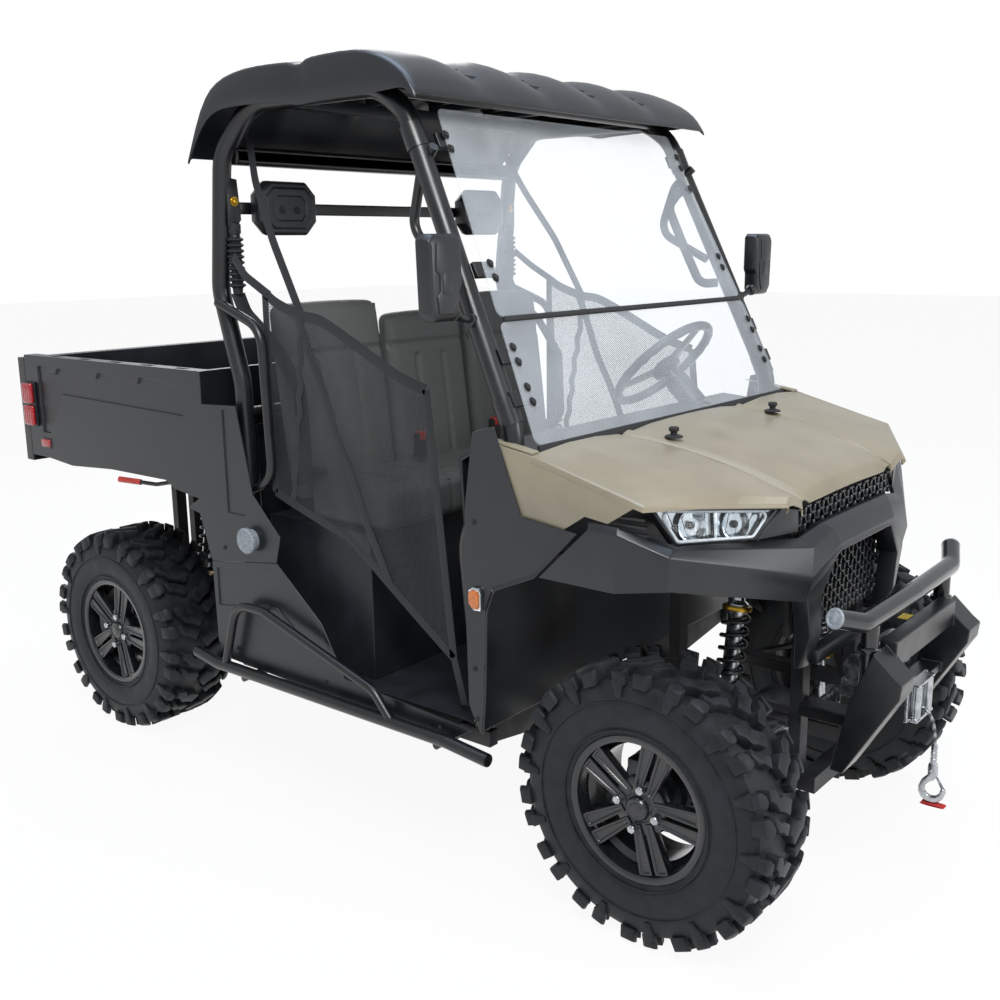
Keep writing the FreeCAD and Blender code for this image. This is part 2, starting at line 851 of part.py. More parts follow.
def main_frame():
    """Two long rails with cross members, suspension towers, side rails and a rear deck frame."""
    low = size.rail_bottom
    offset = size.rail_offset
    half = size.rail_width / 2
    pieces = []

    def bar(x0, y0, z0, x1, y1, z1):
        pieces.append(box(spot(x0, y0, z0), spot(x1, y1, z1)))

    bar(offset - half, size.frame_front, low, offset + half, size.frame_back, rail_top)
    for at in (size.frame_front, size.cab_front + 40, size.cab_back - 60, size.frame_back - size.rail_width):
        bar(-1, at, low, offset, at + size.rail_width, rail_top)
    tower_front = front_axle - size.wishbone_spread - 35
    tower_back = front_axle + size.wishbone_spread + 35
    for at in (tower_front, tower_back):
        bar(offset - half, at - 15, low, offset + half, at + 15, size.tower_height)
    bar(offset - half, tower_front, size.tower_height - 30, offset + half, size.cab_front, size.tower_height)
    bar(-1, tower_front - 15, size.tower_height - 30, offset, tower_front + 15, size.tower_height)
    bar(-1, tower_back - 15, size.tower_height - 30, offset, tower_back + 15, size.tower_height)
    bar(offset - half, tower_front, upper_pivot - 15, offset + half, tower_back, upper_pivot + 15)
    nose_back = size.fascia_front_y + 50 + seat_gap
    bar(offset - half, nose_back, size.fascia_bottom + 15, offset + half, tower_front, size.fascia_bottom + 40)
    shock_x = offset + 62
    shock_y = front_axle - shock_lean_y
    bar(offset, shock_y - 30, size.shock_top_height, shock_x + 20, shock_y + 30, size.tower_height)
    side = size.side_rail_offset
    for at in (size.cab_front + 25, size.seat_front_y + 80, size.cab_back - 60):
        gusset = [(offset - half, rail_top - 10), (offset - half, side_rail_top), (side + 5, side_rail_top), (side + 5, side_rail_low)]
        pieces.append(front_plate(gusset, at, at + 30))
    bar(side, size.cab_front + 10, side_rail_low, side + 30, size.cab_back + 20, side_rail_top)
    rear_tower_front = rear_axle - size.wishbone_spread - 35
    rear_tower_back = rear_axle + size.wishbone_spread + 35
    deck = size.bed_floor_height - size.bed_skid - seat_gap
    for at in (size.cab_back + 45, rear_tower_front, rear_tower_back):
        bar(offset - half, at - 15, low, offset + half, at + 15, deck)
    bar(offset - half, size.cab_back + 30, deck - 40, offset + half, size.frame_back, deck)
    bar(offset - half, size.frame_back - 30, low, offset + half, size.frame_back, deck)
    bar(offset - half, rear_tower_front, upper_pivot - 15, offset + half, rear_tower_back, upper_pivot + 15)
    bar(-1, size.cab_back + 30, deck - 40, offset, size.cab_back + 60, deck)
    bar(-1, size.frame_back - 30, deck - 40, offset, size.frame_back, deck)
    shock_y = rear_axle - shock_lean_y
    bar(offset, shock_y - 30, size.shock_top_height, shock_x + 20, shock_y + 30, deck - 30)
    bar(-1, size.frame_back - 60, low, offset, size.frame_back, low + 30)
    pieces.append(rod(spot(0, hinge_y, hinge_z), spot(hinge_ear + 14, hinge_y, hinge_z), size.hinge_pin / 2))
    return symmetric(pieces)


feature("main_frame", main_frame())


def cage_side():
    """The route of one hoop, from the side rail up the front pillar and back down the rear post."""
    foot = size.cage_base_half_width
    top = size.cage_top_half_width
    lean_y = size.pillar_top_y - size.pillar_foot_y
    return [
        spot(size.side_rail_offset + 15, size.cab_front + 36, side_rail_top + cage_foot_gap),
        spot(foot, size.cab_front + 58.2, size.pillar_foot_height - 210),
        spot(foot, size.pillar_foot_y, size.pillar_foot_height),
        spot(top, size.pillar_foot_y + lean_y * 0.93, size.cage_top_height - 62),
        spot(top, size.pillar_top_y + 60, size.cage_top_height - 6),
        spot(top, size.post_y - 110, size.cage_top_height - 6),
        spot(foot - 15, size.post_y - 20, size.cage_top_height - 125),
        spot(foot - 15, size.post_y + 18, size.cage_top_height - 465),
        spot(foot - 15, size.post_y - 50, size.corner_top + 60),
        spot(size.side_rail_offset + 15, size.post_y - 45, side_rail_top + cage_foot_gap),
    ]


def roll_cage():
    """Two hoops from the front pillars over the roof and down behind the seats, with cross bars."""
    foot = size.cage_base_half_width
    top = size.cage_top_half_width
    pieces = [bent_tube(cage_side(), cage_radius, size.cage_bend)]

    def cross(y, z, half_width, radius):
        pieces.append(rod(spot(0, y, z), spot(half_width, y, z), radius))

    cross(size.pillar_top_y + 20, size.cage_top_height - 14, top, size.cross_bar_tube / 2)
    cross(size.post_y - 60, size.corner_top - 20, foot - 15, size.cross_bar_tube / 2)
    channel_low = size.cage_top_height - 150
    pieces.append(
        box(
            spot(0, size.post_y - 45, channel_low), spot(foot - 20, size.post_y - 5, channel_low + 48)
        )
    )
    pieces.append(
        box(
            spot(0, size.post_y - 8, size.headrest_height - 16),
            spot(foot - 20, size.post_y + 4, size.headrest_height + 16),
        )
    )
    return symmetric(pieces)


feature("roll_cage", roll_cage())


def clear_of_cage(shape, gap=1.0):
    """Cuts the shape back where the cage's side hoops pass, with a little room round them."""
    for side in (1, -1):
        hoop = bent_tube([Vector(side * p.x, p.y, p.z) for p in cage_side()], cage_radius + gap, size.cage_bend)
        shape = shape.cut(hoop)
    return shape

headrest_back = size.post_y - 8 - size.panel_gap


def headrest():
    """A moulded pad on the cross bar, with a shallow window in its face."""
    body = new_body("headrests_left")
    x = size.headrest_offset
    half = size.headrest_width / 2
    low = size.headrest_height - size.headrest_tall / 2
    high = size.headrest_height + size.headrest_tall / 2
    cut = 24

    def face(sketch):
        draw_outline(
            sketch,
            [
                (x - half + cut, low),
                (x + half - cut, low),
                (x + half, low + cut),
                (x + half, high - cut * 1.6),
                (x + half - cut, high),
                (x - half + cut, high),
                (x - half, high - cut * 1.6),
                (x - half, low + cut),
            ],
        )

    pad(body, "XZ_Plane", headrest_back - size.headrest_deep, headrest_back, face)

    def window(sketch):
        draw_outline(
            sketch,
            [
                (x - half * 0.5, low + cut * 1.4),
                (x + half * 0.5, low + cut * 1.4),
                (x + half * 0.5, high - cut * 1.4),
                (x - half * 0.5, high - cut * 1.4),
            ],
        )

    front = headrest_back - size.headrest_deep
    pocket(body, "XZ_Plane", front, front + 8, window)
    fillet(body, 8, runs_along(Y_AXIS))
    nodes.pop("headrests_left")
    return body


mirror_pair("headrests", headrest())


def skin(rows, wall):
    """A closed shell of even thickness behind a net of points, split into three-cornered faces."""
    high, wide = len(rows), len(rows[0])
    normals = [[Vector() for _ in range(wide)] for _ in range(high)]
    triangles = []
    for i in range(high - 1):
        for j in range(wide - 1):
            for trio in (((i, j), (i + 1, j), (i + 1, j + 1)), ((i, j), (i + 1, j + 1), (i, j + 1))):
                a, b, c = [rows[row][column] for row, column in trio]
                across = (b - a).cross(c - a)
                triangles.append(trio)
                for row, column in trio:
                    normals[row][column] = normals[row][column] + across
    inner = []
    for i in range(high):
        inner.append([rows[i][j] - normals[i][j].normalize() * number(wall) for j in range(wide)])
    faces = []

    def face(*corners):
        faces.append(Part.Face(Part.makePolygon(list(corners) + [corners[0]])))

    for trio in triangles:
        face(*[rows[i][j] for i, j in trio])
        face(*[inner[i][j] for i, j in trio[::-1]])
    border = [(0, j) for j in range(wide)] + [(i, wide - 1) for i in range(1, high)]
    border += [(high - 1, j) for j in range(wide - 2, -1, -1)] + [(i, 0) for i in range(high - 2, 0, -1)]
    for (i, j), (m, n) in zip(border, border[1:] + border[:1]):
        face(rows[i][j], rows[m][n], inner[m][n])
        face(rows[i][j], inner[m][n], inner[i][j])
    solid = Part.Solid(Part.Shell(faces))
    if solid.Volume < 0:
        solid.reverse()
    return solid


ROOF_HUMP = [0.0, 0.72, 1.0, 0.72]


def roof_columns():
    """Places across the roof, from its left edge, with the share of the full hump at each."""
    reach = number(size.roof_half_width) - 12
    pitch = 2 * reach / 5
    columns = [(reach - pitch * n / 4, ROOF_HUMP[n % 4]) for n in range(21)]
    for n, share in ((0, 0.55), (1, 0.9), (19, 0.9), (20, 0.55)):
        columns[n] = (columns[n][0], share)
    return columns


def roof():
    """A moulded roof: five long humps with a groove across them, a rear drop and side walls."""
    wall = number(size.roof_wall)
    top = number(size.roof_height)
    front = number(size.roof_front_y)
    back = number(size.roof_back_y)
    half = number(size.roof_half_width)
    rise = number(size.roof_rib)
    columns = roof_columns()
    rows = []
    for y, drop, share, depth in (
        (front, 92, 0.0, 4),
        (front + 36, 52, 0.35, 26),
        (front + 100, 20, 0.8, 66),
        (front + 190, 2, 1.0, 88),
        (front + 325, 2, 1.0, 92),
        (front + 360, 4, 0.45, 84),
        (front + 388, 4, 0.45, 82),
        (front + 425, 4, 0.95, 82),
        (back - 235, 4, 0.95, 76),
        (back - 130, 24, 0.8, 60),
        (back - 66, 72, 0.4, 42),
        (back, number(size.roof_droop), 0.0, 6),
    ):
        crown = [Vector(x, y, top - drop + rise * share * hump) for x, hump in columns]
        edge = crown[0].z
        left = [Vector(half, y, edge - 9 - depth), Vector(half, y, edge - 9)]
        rows.append(left + crown + [Vector(-half, y, p.z) for p in left[::-1]])
    pads = []
    tube = number(size.cage_top_half_width)
    crest = number(size.cage_top_height) - 6 + number(cage_radius) + seat_gap
    spread = (columns[0][0] - tube) / (columns[0][0] - columns[4][0]) * 4
    low_end, high_end = columns[int(spread)][1], columns[int(spread) + 1][1]
    hump = low_end + (high_end - low_end) * (spread - int(spread))
    for y, drop, share in ((front + 225, 2, 1.0), (front + 455, 4, 0.95)):
        under = top - drop + rise * share * hump - wall * 0.6
        pads.append(box(Vector(tube - 10, y, crest), Vector(tube + 10, y + 60, under)))
    return joined([skin(rows, wall)] + pads + [mirrored(stud) for stud in pads])


feature("roof_panel", roof())


# Windshield


def on_screen(share, side_share, proud=0.0):
    """A point on the windshield: share runs from its foot to its top, side_share from its middle out."""
    half = size.screen_foot_half_width + (size.screen_top_half_width - size.screen_foot_half_width) * share
    y = size.screen_foot_y + (size.screen_top_y - size.screen_foot_y) * share
    z = size.screen_foot_height + (size.screen_top_height - size.screen_foot_height) * share
    normal = screen_normal()
    return spot(half * side_share, y, z) + normal * number(proud)


def screen_normal():
    """The direction that the windshield's outer face looks in."""
    along = spot(
        0, size.screen_top_y - size.screen_foot_y, size.screen_top_height - size.screen_foot_height
    ).normalize()
    return Vector(0, -along.z, along.y)


def pane(low, high):
    corners = [on_screen(low, -1), on_screen(low, 1), on_screen(high, 1), on_screen(high, -1)]
    plate = flat_plate(corners, screen_normal() * number(size.screen_wall))
    return rounded(plate, 18, runs_along(screen_normal()))


seal_half = 0.008
split = number(size.screen_split)
feature("windshield_lower", pane(0.012, split - seal_half))
feature("windshield_upper", pane(split + seal_half, 1.0))


def seals():
    """A strip where the panes meet and a strip along the foot, both with a groove for the pane."""
    wall = number(size.screen_wall)
    pieces = []
    for low, high, reach in ((split - seal_half, split + seal_half, 0.97), (-0.012, 0.012, 0.99)):
        corners = [
            on_screen(low, -reach, -3), on_screen(low, reach, -3), on_screen(high, reach, -3),
            on_screen(high, -reach, -3),
        ]
        pieces.append(flat_plate(corners, screen_normal() * (wall + 6)))
    return Part.makeCompound(pieces)


feature("windshield_seal", seals())
CLAMP_SHARES = (0.15, 0.27, 0.52, 0.905)


def clamps():
    """Blocks that hold the panes' edges to the pillars."""
    pieces = []
    for share in CLAMP_SHARES:
        edge = on_screen(share, 1.045)
        inner = on_screen(share, 0.92)
        up = (on_screen(1, 0) - on_screen(0, 0)).normalize() * 18
        depth = screen_normal() * -12
        corners = [inner - up, edge - up, edge + up, inner + up]
        gap = screen_normal() * -0.3
        plate = flat_plate([corner + gap for corner in corners], depth)
        pieces.append(clear_of_cage(plate, seat_gap))
    return both_sides(*pieces)


feature("windshield_clamps", clamps())


# Bonnet, wings, nose and front fenders


def hood_point(x, share, drop=0.0):
    """A point on the bonnet's crowned surface: share runs from the screen to the front edge."""
    crown = 12 * (1 - (number(x) / 330.0) ** 2)
    y = size.hood_back_y + (size.hood_front_y - size.hood_back_y) * share
    z = size.hood_back_height + (size.hood_front_height - size.hood_back_height) * share
    lift = 20 * 4 * share * (1 - share)
    return spot(x, y, number(z) + crown + lift - number(drop))


HOOD_SHARES = (0.0, 0.35, 0.64, 1.0)
lid_step = 8


def lid_half(share):
    """Half the width of the lid at a share of the way from the screen to the front edge."""
    back = number(size.lid_back_half_width)
    return back + (number(size.lid_front_half_width) - back) * share


def hood_lid():
    """The middle panel of the bonnet, a crowned sheet with a step down at its sides."""
    sections = []
    wall = number(size.hood_wall)
    for share in HOOD_SHARES:
        half = lid_half(share)
        spread = [-half, -half * 0.93, -half * 0.45, 0, half * 0.45, half * 0.93, half]
        upper = [hood_point(x, share) for x in spread]
        upper[0] = upper[0] - Vector(0, 0, lid_step)
        upper[-1] = upper[-1] - Vector(0, 0, lid_step)
        lower = [p - Vector(0, 0, wall) for p in upper[::-1]]
        sections.append(upper + lower)
    return loft(sections)


feature("hood_lid", hood_lid())


def hood_side():
    """The shoulder of the bonnet with a ledge under the lid, and the painted cheek below it."""
    wall = number(size.hood_wall)
    outer = number(size.wing_half_width) - 6
    corner_y = number(size.wing_corner_y)
    front_y = number(size.hood_front_y)
    nose = number(size.lid_front_half_width) + 80
    sections = []
    for share in HOOD_SHARES:
        half = lid_half(share)
        seam = half + number(size.lid_seam)
        top = hood_point(half, share)
        rise = share / HOOD_SHARES[2]
        if rise <= 1:
            edge_x = outer
            edge_z = number(size.hood_back_height) * (1 - rise) + number(size.wing_corner_height) * rise
        else:
            sweep = (share - HOOD_SHARES[2]) / (1 - HOOD_SHARES[2])
            edge_x = outer + (nose - outer) * sweep
            edge_z = number(size.wing_corner_height) * (1 - sweep) + number(size.hood_front_height) * sweep
        span = edge_x - seam
        under = top.z - lid_step - wall - seat_gap
        profile = [
            (seam, top.z),
            (seam + span * 0.3, top.z * 0.72 + edge_z * 0.28 + 5),
            (seam + span * 0.85, top.z * 0.15 + edge_z * 0.85 + 10),
            (edge_x, edge_z),
            (edge_x, edge_z - wall),
            (seam + span * 0.85, top.z * 0.15 + edge_z * 0.85 + 10 - wall),
            (seam + span * 0.3, top.z * 0.72 + edge_z * 0.28 + 5 - wall),
            (seam + wall, top.z - wall),
            (seam + wall, under - wall),
            (half - 12, under - wall),
            (half - 12, under),
            (seam, under),
        ]
        sections.append([Vector(x, top.y, z) for x, z in profile])
    cheek = [
        (-556, 1088),
        (-645, 928),
        (-792, 913),
        (-849, 951),
        (-905, 944),
        (-969, 986),
        (-714, 1068),
    ]
    half = number(size.wing_half_width)
    plate = side_plate(cheek, half - wall, half)
    strip = [(-712, 1063), (-714, 1068), (-969, 991), (-905, 1000)]
    rim = side_plate(strip, half - 12, half - wall + 1)
    return joined([loft(sections), plate, rim])


feature("hood_sides", both_sides(hood_side()))


def fascia_rows():
    """Points of the left half of the nose: ledge, bevel, crease and lower edge, centre to rear."""
    front = number(size.fascia_front_y)
    half = number(size.fascia_half_width)
    outer = number(size.wing_half_width) + 2
    back = front + 54.5
    ledge = [
        Vector(0, back, 890),
        Vector(half - 60, back, 890),
        Vector(half + 25, back, 872),
        Vector(outer - 96, -1000, 893),
        Vector(outer - 10, -930, 938),
        Vector(outer - 10, -860, 940),
    ]
    bevel = [
        Vector(0, front + 35, 895),
        Vector(half - 67, front + 35, 894),
        Vector(half + 25, front + 46, 878),
        Vector(outer - 84, -1018, 898),
        Vector(outer - 4, -930, 941),
        Vector(outer - 3, -860, 941),
    ]
    crown = [
        Vector(0, front + 16, 880),
        Vector(half - 84, front + 16, 879),
        Vector(half + 12, front + 15, 858),
        Vector(outer - 52, -1030, 900),
        Vector(outer, -930, 936),
        Vector(outer + 1, -860, 937),
    ]
    crease = [
        Vector(0, front, 845),
        Vector(half - 92, front, 845),
        Vector(half + 25, front + 8, 798),
        Vector(outer - 24, -1036, 890),
        Vector(outer + 6, -930, 926),
        Vector(outer + 4, -862, 928),
    ]
    lower = [
        Vector(0, front + 2, 827),
        Vector(half - 101, front + 2, 827),
        Vector(half + 27, front + 22, 738),
        Vector(outer - 26, -1030, 818),
        Vector(outer, -923, 802),
        Vector(outer + 1, -734, 803),
    ]
    return [ledge, bevel, crown, crease, lower]


def across(row):
    """A row of points carried over to the other side of the centre plane."""
    return [Vector(-p.x, p.y, p.z) for p in row[:0:-1]] + row


def nose_leg():
    """The pillar beside the lower grille that runs down to the bumper."""
    front = number(size.fascia_front_y)
    half = number(size.fascia_half_width)
    back = front + 57.9
    sections = []
    for inside, outside, y, z in (
        (half - 96, half + 20, front + 6, 822),
        (half - 25, half + 26, front + 10, 742),
        (half - 40, half - 2, front + 12, 652),
        (half - 54, half - 24, front + 44, number(size.fascia_bottom)),
    ):
        deep = back if z > 600 else back + 8
        corners = [(inside, y), (outside, y + 8), (outside, deep), (inside, deep)]
        sections.append([Vector(x, depth, z) for x, depth in corners])
    return loft(sections)


def fascia():
    """The black nose: a folded shell round the grilles whose wings sweep back under the lamps."""
    front = number(size.fascia_front_y)
    reach = number(size.fascia_half_width) - 44
    shell = skin([across(row) for row in fascia_rows()], size.panel_wall)
    leg = nose_leg()
    low = number(size.fascia_bottom)
    sill = box(Vector(-reach, front + 20, low + 10), Vector(reach, front + 50, low + 45))
    return joined([shell, leg, mirrored(leg), sill])


feature("front_fascia", fascia())


def grille():
    """The upper and lower grille inserts: framed plates with rows of bars."""
    front = number(size.fascia_front_y)
    half = number(size.fascia_half_width)
    wide = half - 18
    lower = []
    for i in range(8):
        z = 650 + i * 22
        lower.append(box(Vector(-wide, front + 58.2, z), Vector(wide, front + 64, z + 5)))
    for i in range(11):
        x = -wide + i * (2 * wide - 5) / 10
        lower.append(box(Vector(x, front + 58.2, 650), Vector(x + 5, front + 64, 809)))
    upper = []
    for i in range(3):
        z = 888 + i * 22
        upper.append(box(Vector(-half, front + 54.8, z), Vector(half, front + 60.8, z + 5)))
    for i in range(13):
        x = -half + i * (2 * half - 6) / 12
        upper.append(box(Vector(x, front + 54.8, 888), Vector(x + 6, front + 60.8, 937)))
    return Part.makeCompound([joined(lower), joined(upper)])


feature("grilles", grille())


def headlamp():
    """A wedge-shaped lamp between the bonnet's edge and the nose."""
    bevel = fascia_rows()[1]
    start, end = bevel[2], bevel[3]
    low = [start + (end - start) * share + Vector(0, 0, seat_gap) for share in (0.42, 0.93)]
    outer = Vector(590, -975, 978)
    inner = Vector(332, -1128, 940)
    back = Vector(0, 60, 0)
    return joined([flat_plate([outer, inner, low[0]], back), flat_plate([outer, low[0], low[1]], back)])


feature("headlamps", both_sides(headlamp()))


def fender():
    """The black side panel behind the front wheel: a flared lip at the arch, and an inner liner."""
    half = number(size.fender_half_width)
    wall = number(size.panel_wall)
    flare = number(size.fender_flare)
    rows = []
    for front, rear, share in (
        ((-618, 1115), (-558, 1098), 0.0),
        ((-690, 930), (-536, 947), 0.0),
        ((-833, 914), (-533, 900), 0.0),
        ((-771, 849), (-530, 850), 0.2),
        ((-726, 803), (-528, 817), 0.5),
        ((-622, 757), (-529, 770), 0.9),
        ((-601, 707), (-531, 700), 1.0),
        ((-592, 491), (-536, 469), 1.0),
        ((-581, 412), (-567, 404), 0.7),
    ):
        fold = min(14, (rear[0] - front[0]) / 2)
        lean = (rear[1] - front[1]) * fold / (rear[0] - front[0])
        lip = Vector(half + flare * share, front[0], front[1])
        crease = Vector(half, front[0] + fold, front[1] + lean)
        rows.append([lip, crease, Vector(half, rear[0], rear[1])])
    outer = skin(rows, wall)
    liner_back = number(size.cab_front) - seat_gap
    liner = box(Vector(260, liner_back - wall, 404.5), Vector(half - wall + 2, liner_back, 760))
    return joined([outer, liner])


feature("front_fenders", both_sides(fender()))
feature(
    "marker_lamps",
    both_sides(
        box(
            Vector(number(size.fender_half_width) + 0.3, -585, 700),
            Vector(number(size.fender_half_width) + 18, -548, 755),
        )
    ),
)


# Bumper, winch, rope and bull bar


def bumper():
    """A moulded bumper: two deep towers with a sill between them and a bay for the winch."""
    front = number(size.bumper_front_y)
    half = number(size.bumper_half_width)
    low = number(size.bumper_bottom)
    tower = [
        (front + 117, low),
        (front + 146, low + 2),
        (front + 111, 535),
        (front + 64, 650),
        (front + 20, 609),
        (front, 594),
        (front + 4, 560),
    ]
    near = side_plate(tower, half - 80, half)
    beam = box(Vector(-1, front + 40, 600), Vector(half - 70, front + 78, 660))
    sill = box(Vector(-1, front + 60, 480), Vector(half - 70, front + 110, 500))
    inner = number(size.rail_offset - size.rail_width / 2)
    reach = number(front_axle - size.wishbone_spread) - 35 - 15 - seat_gap
    mount = box(Vector(inner, front + 100, 440), Vector(half - 70, reach, 470))
    return symmetric([near, beam, sill, mount])


feature("winch_bumper", bumper())


def winch():
    """The drum housing behind the sill, with a roller fairlead in front."""
    front = number(size.bumper_front_y)
    drum = rod(Vector(-110, front + 150, 500 + 50), Vector(110, front + 150, 550), 36)
    base = box(Vector(-110, front + 110.3, 480), Vector(110, front + 190, 520))
    plate = box(Vector(-62, front + 52, 430), Vector(62, front + 59.7, 520))
    rollers = [rod(Vector(x, front + 41, 436), Vector(x, front + 41, 516), 10) for x in (-36, 36)]
    foot = box(Vector(-52, front + 32, 430), Vector(52, front + 56, 437))
    head = box(Vector(-52, front + 32, 514), Vector(52, front + 56, 520))
    fairlead = joined([plate, foot, head] + rollers)
    return Part.makeCompound([joined([drum, base]), fairlead])


feature("winch", winch())

rope_exit = Vector(0, number(size.bumper_front_y) + 51.3, 452)
ROPE_RUNS = [(10.5, 0), (11, 22), (13, 44), (17, 63), (28, 77), (28, 87)]
ROPE = [rope_exit]
for rope_run, fall in ROPE_RUNS:
    fall = math.radians(fall)
    ROPE.append(ROPE[-1] + Vector(0, -math.cos(fall), -math.sin(fall)) * rope_run)


def rope():
    return cord_tube("winch_rope", ROPE, size.rope_radius)


feature("winch_rope", rope())


ferrule_length = 46
hook_depth = 97


def hook():
    """The rope's ferrule and its flat snap hook, open towards the front."""
    top = ROPE[-1] + Vector(0, 0, -seat_gap)
    ferrule = rod(top, top + Vector(0, 0, -ferrule_length), 7)
    low = top + Vector(0, 0, 2 - ferrule_length)
    outline = [
        (-9, 0), (9, 0), (9, -34), (25, -50), (30, -72), (19, -90), (0, -hook_depth), (-19, -90),
        (-30, -74), (-32, -59), (-21, -57), (-19, -70), (-10, -79), (0, -81), (12, -77),
        (16, -68), (12, -56), (-9, -40),
    ]
    body = flat_plate([low + Vector(-6, y, z) for y, z in outline], Vector(12, 0, 0))
    return joined([ferrule, body])


feature("winch_hook", hook())


def strap():
    """The flat pull strap looped through the hook."""
    top = ROPE[-1] + Vector(0, 0, 2 - ferrule_length - hook_depth - 2 * seat_gap)
    return box(top + Vector(-11, -40, -6), top + Vector(11, 22, 0))


feature("hook_strap", strap())


def bull_bar():
    """A bent tube on two posts."""
    tube = number(size.bull_bar_tube) / 2
    front = number(size.bumper_front_y) + 86
    z = number(size.bull_bar_height)
    half = number(size.bull_bar_half_width)
    path = [
        Vector(-half, front + 26, z + 26),
        Vector(-half + 82, front - 2, z),
        Vector(0, front - 8, z + 0.5),
        Vector(half - 82, front - 2, z),
        Vector(half, front + 26, z + 26),
    ]
    bar = bent_tube(path, tube, 60)
    offset = number(size.bull_bar_post_offset)
    posts = [
        rod(Vector(side * offset, front, 560), Vector(side * offset, front, z), number(size.bull_bar_post) / 2)
        for side in (-1, 1)
    ]
    return joined([bar] + posts)


feature("bull_bar", bull_bar())
bumper_cut = nodes["winch_bumper"].Shape.cut(nodes["bull_bar"].Shape)
nodes["winch_bumper"].Shape = bumper_cut


# Cab


slope = math.radians(number(size.column_slope))
column_axis = Vector(0, math.cos(slope), math.sin(slope))
wheel_centre = spot(size.steering_x, size.steering_y, size.steering_height)


def column_hole(radius):
    """The room that the steering column takes in a panel it passes through."""
    return rod(wheel_centre, wheel_centre - column_axis * 420, radius + seat_gap)


def floor_pan():
    """The floor with its toe board and the wall behind the seats."""
    half = number(size.cage_base_half_width)
    wall = number(size.panel_wall)
    z = number(size.floor_height)
    front = number(size.cab_front)
    back = number(size.cab_back)
    pieces = [
        box(Vector(-half, front, z - wall), Vector(half, back, z)),
        box(Vector(-half, front, z - wall), Vector(half, front + wall, 1000)),
        box(Vector(-half + 90, back - wall, z - wall), Vector(half - 90, back, 1020)),
    ]
    for x in (-350, 0, 350):
        low = number(side_rail_top) + 0.3
        pieces.append(box(Vector(x - 60, front + 60, low), Vector(x + 60, back - 80, z)))
    return clear_of_cage(joined(pieces)).cut(column_hole(22))


feature("floor_pan", floor_pan())


def seat_base():
    """The moulded box under the seats."""
    half = number(size.seat_half_width)
    wall = number(size.panel_wall)
    z0 = number(size.floor_height) + 0.3
    z1 = number(size.seat_base_height)
    front = number(size.seat_front_y)
    back = number(size.cab_back) - 90
    pieces = [
        box(Vector(-half, front, z0), Vector(half, front + wall, z1)),
        box(Vector(-half, front, z1 - wall), Vector(half, back, z1)),
        box(Vector(-half, front, z0), Vector(-half + wall, back, z1)),
        box(Vector(half - wall, front, z0), Vector(half, back, z1)),
    ]
    return joined(pieces)


feature("seat_base", seat_base())


def cushions():
    half = number(size.seat_half_width)
    front = number(size.seat_front_y) - 60
    z0 = number(size.seat_base_height) + 0.3
    z1 = z0 + number(size.cushion_thick)
    back = number(size.cab_back) - 230
    pieces = []
    for low, high in ((-half, -170), (-166, 166), (170, half)):
        block = box(Vector(low, front, z0), Vector(high, back, z1))
        pieces.append(block)
    return Part.makeCompound(pieces)


feature("seat_cushions", cushions())


def seat_backs():
    half = number(size.seat_half_width)
    z0 = number(size.cushion_height) - 80
    z1 = number(size.seat_back_height)
    thick = number(size.seat_back_thick)
    foot = number(size.cab_back) - 230 + seat_gap
    pieces = []
    for low, high, top in ((-half, -170, z1), (-166, 166, z1 - 20), (170, half, z1)):
        outline = [
            (foot, z0),
            (foot + thick, z0),
            (foot + thick + 45, top - 30),
            (foot + thick + 30, top),
            (foot + 72, top),
            (foot + 50, top - 40),
        ]
        pieces.append(side_plate(outline, low, high))
    return Part.makeCompound(pieces)


feature("seat_backs", seat_backs())


def dash():
    """The dashboard across the cab under the windshield."""
    half = number(size.wing_half_width) - 12
    outline = [
        (number(size.cab_front) - 100, 1040),
        (number(size.dash_back_y) - 60, 1052),
        (number(size.dash_back_y), 1020),
        (number(size.dash_back_y) - 10, 860),
        (number(size.dash_back_y) - 50, 780),
        (number(size.dash_back_y) - 60, 780),
        (number(size.dash_back_y) - 20, 862),
        (number(size.dash_back_y) - 10, 1012),
        (number(size.dash_back_y) - 64, 1042),
        (number(size.cab_front) - 100, 1030),
    ]
    return side_plate(outline, -half + 62, half - 62)


def steering_column():
    top = wheel_centre - column_axis * 62
    foot = top - column_axis * 330
    return joined([rod(foot, top, 22), rod(top - column_axis * 90, top, 34)])


feature("steering_column", steering_column())
feature("dash_panel", dash().cut(column_hole(34)))


def steering_wheel():
    """A grip ring, three spokes and a padded hub, set square to the column."""
    grip = number(size.steering_grip)
    middle = number(size.steering_wheel_radius) - grip
    section = [
        Vector(middle + grip * math.cos(math.pi / 4 * (i + 0.5)), 0, grip * math.sin(math.pi / 4 * (i + 0.5)))
        for i in range(8)
    ]
    ring = Part.Face(Part.makePolygon(section + [section[0]])).revolve(Vector(), Z_AXIS, 360)
    hub = Part.makeCone(44, 36, 30, Vector(0, 0, -30), Z_AXIS)
    neck = rod(Vector(0, 0, -61.5), Vector(0, 0, -28), 20)
    pieces = [ring, hub, neck]
    reach = number(size.steering_wheel_radius) - number(size.steering_grip)
    for turn in (90, 210, 330):
        way = Vector(math.cos(math.radians(turn)), math.sin(math.radians(turn)), 0)
        pieces.append(rod(Vector(0, 0, -16) + way * 30, way * reach + Vector(0, 0, -2), 9))
    return joined(pieces)


feature("steering_wheel", steering_wheel(), Placement(wheel_centre, Rotation(Z_AXIS, column_axis)))


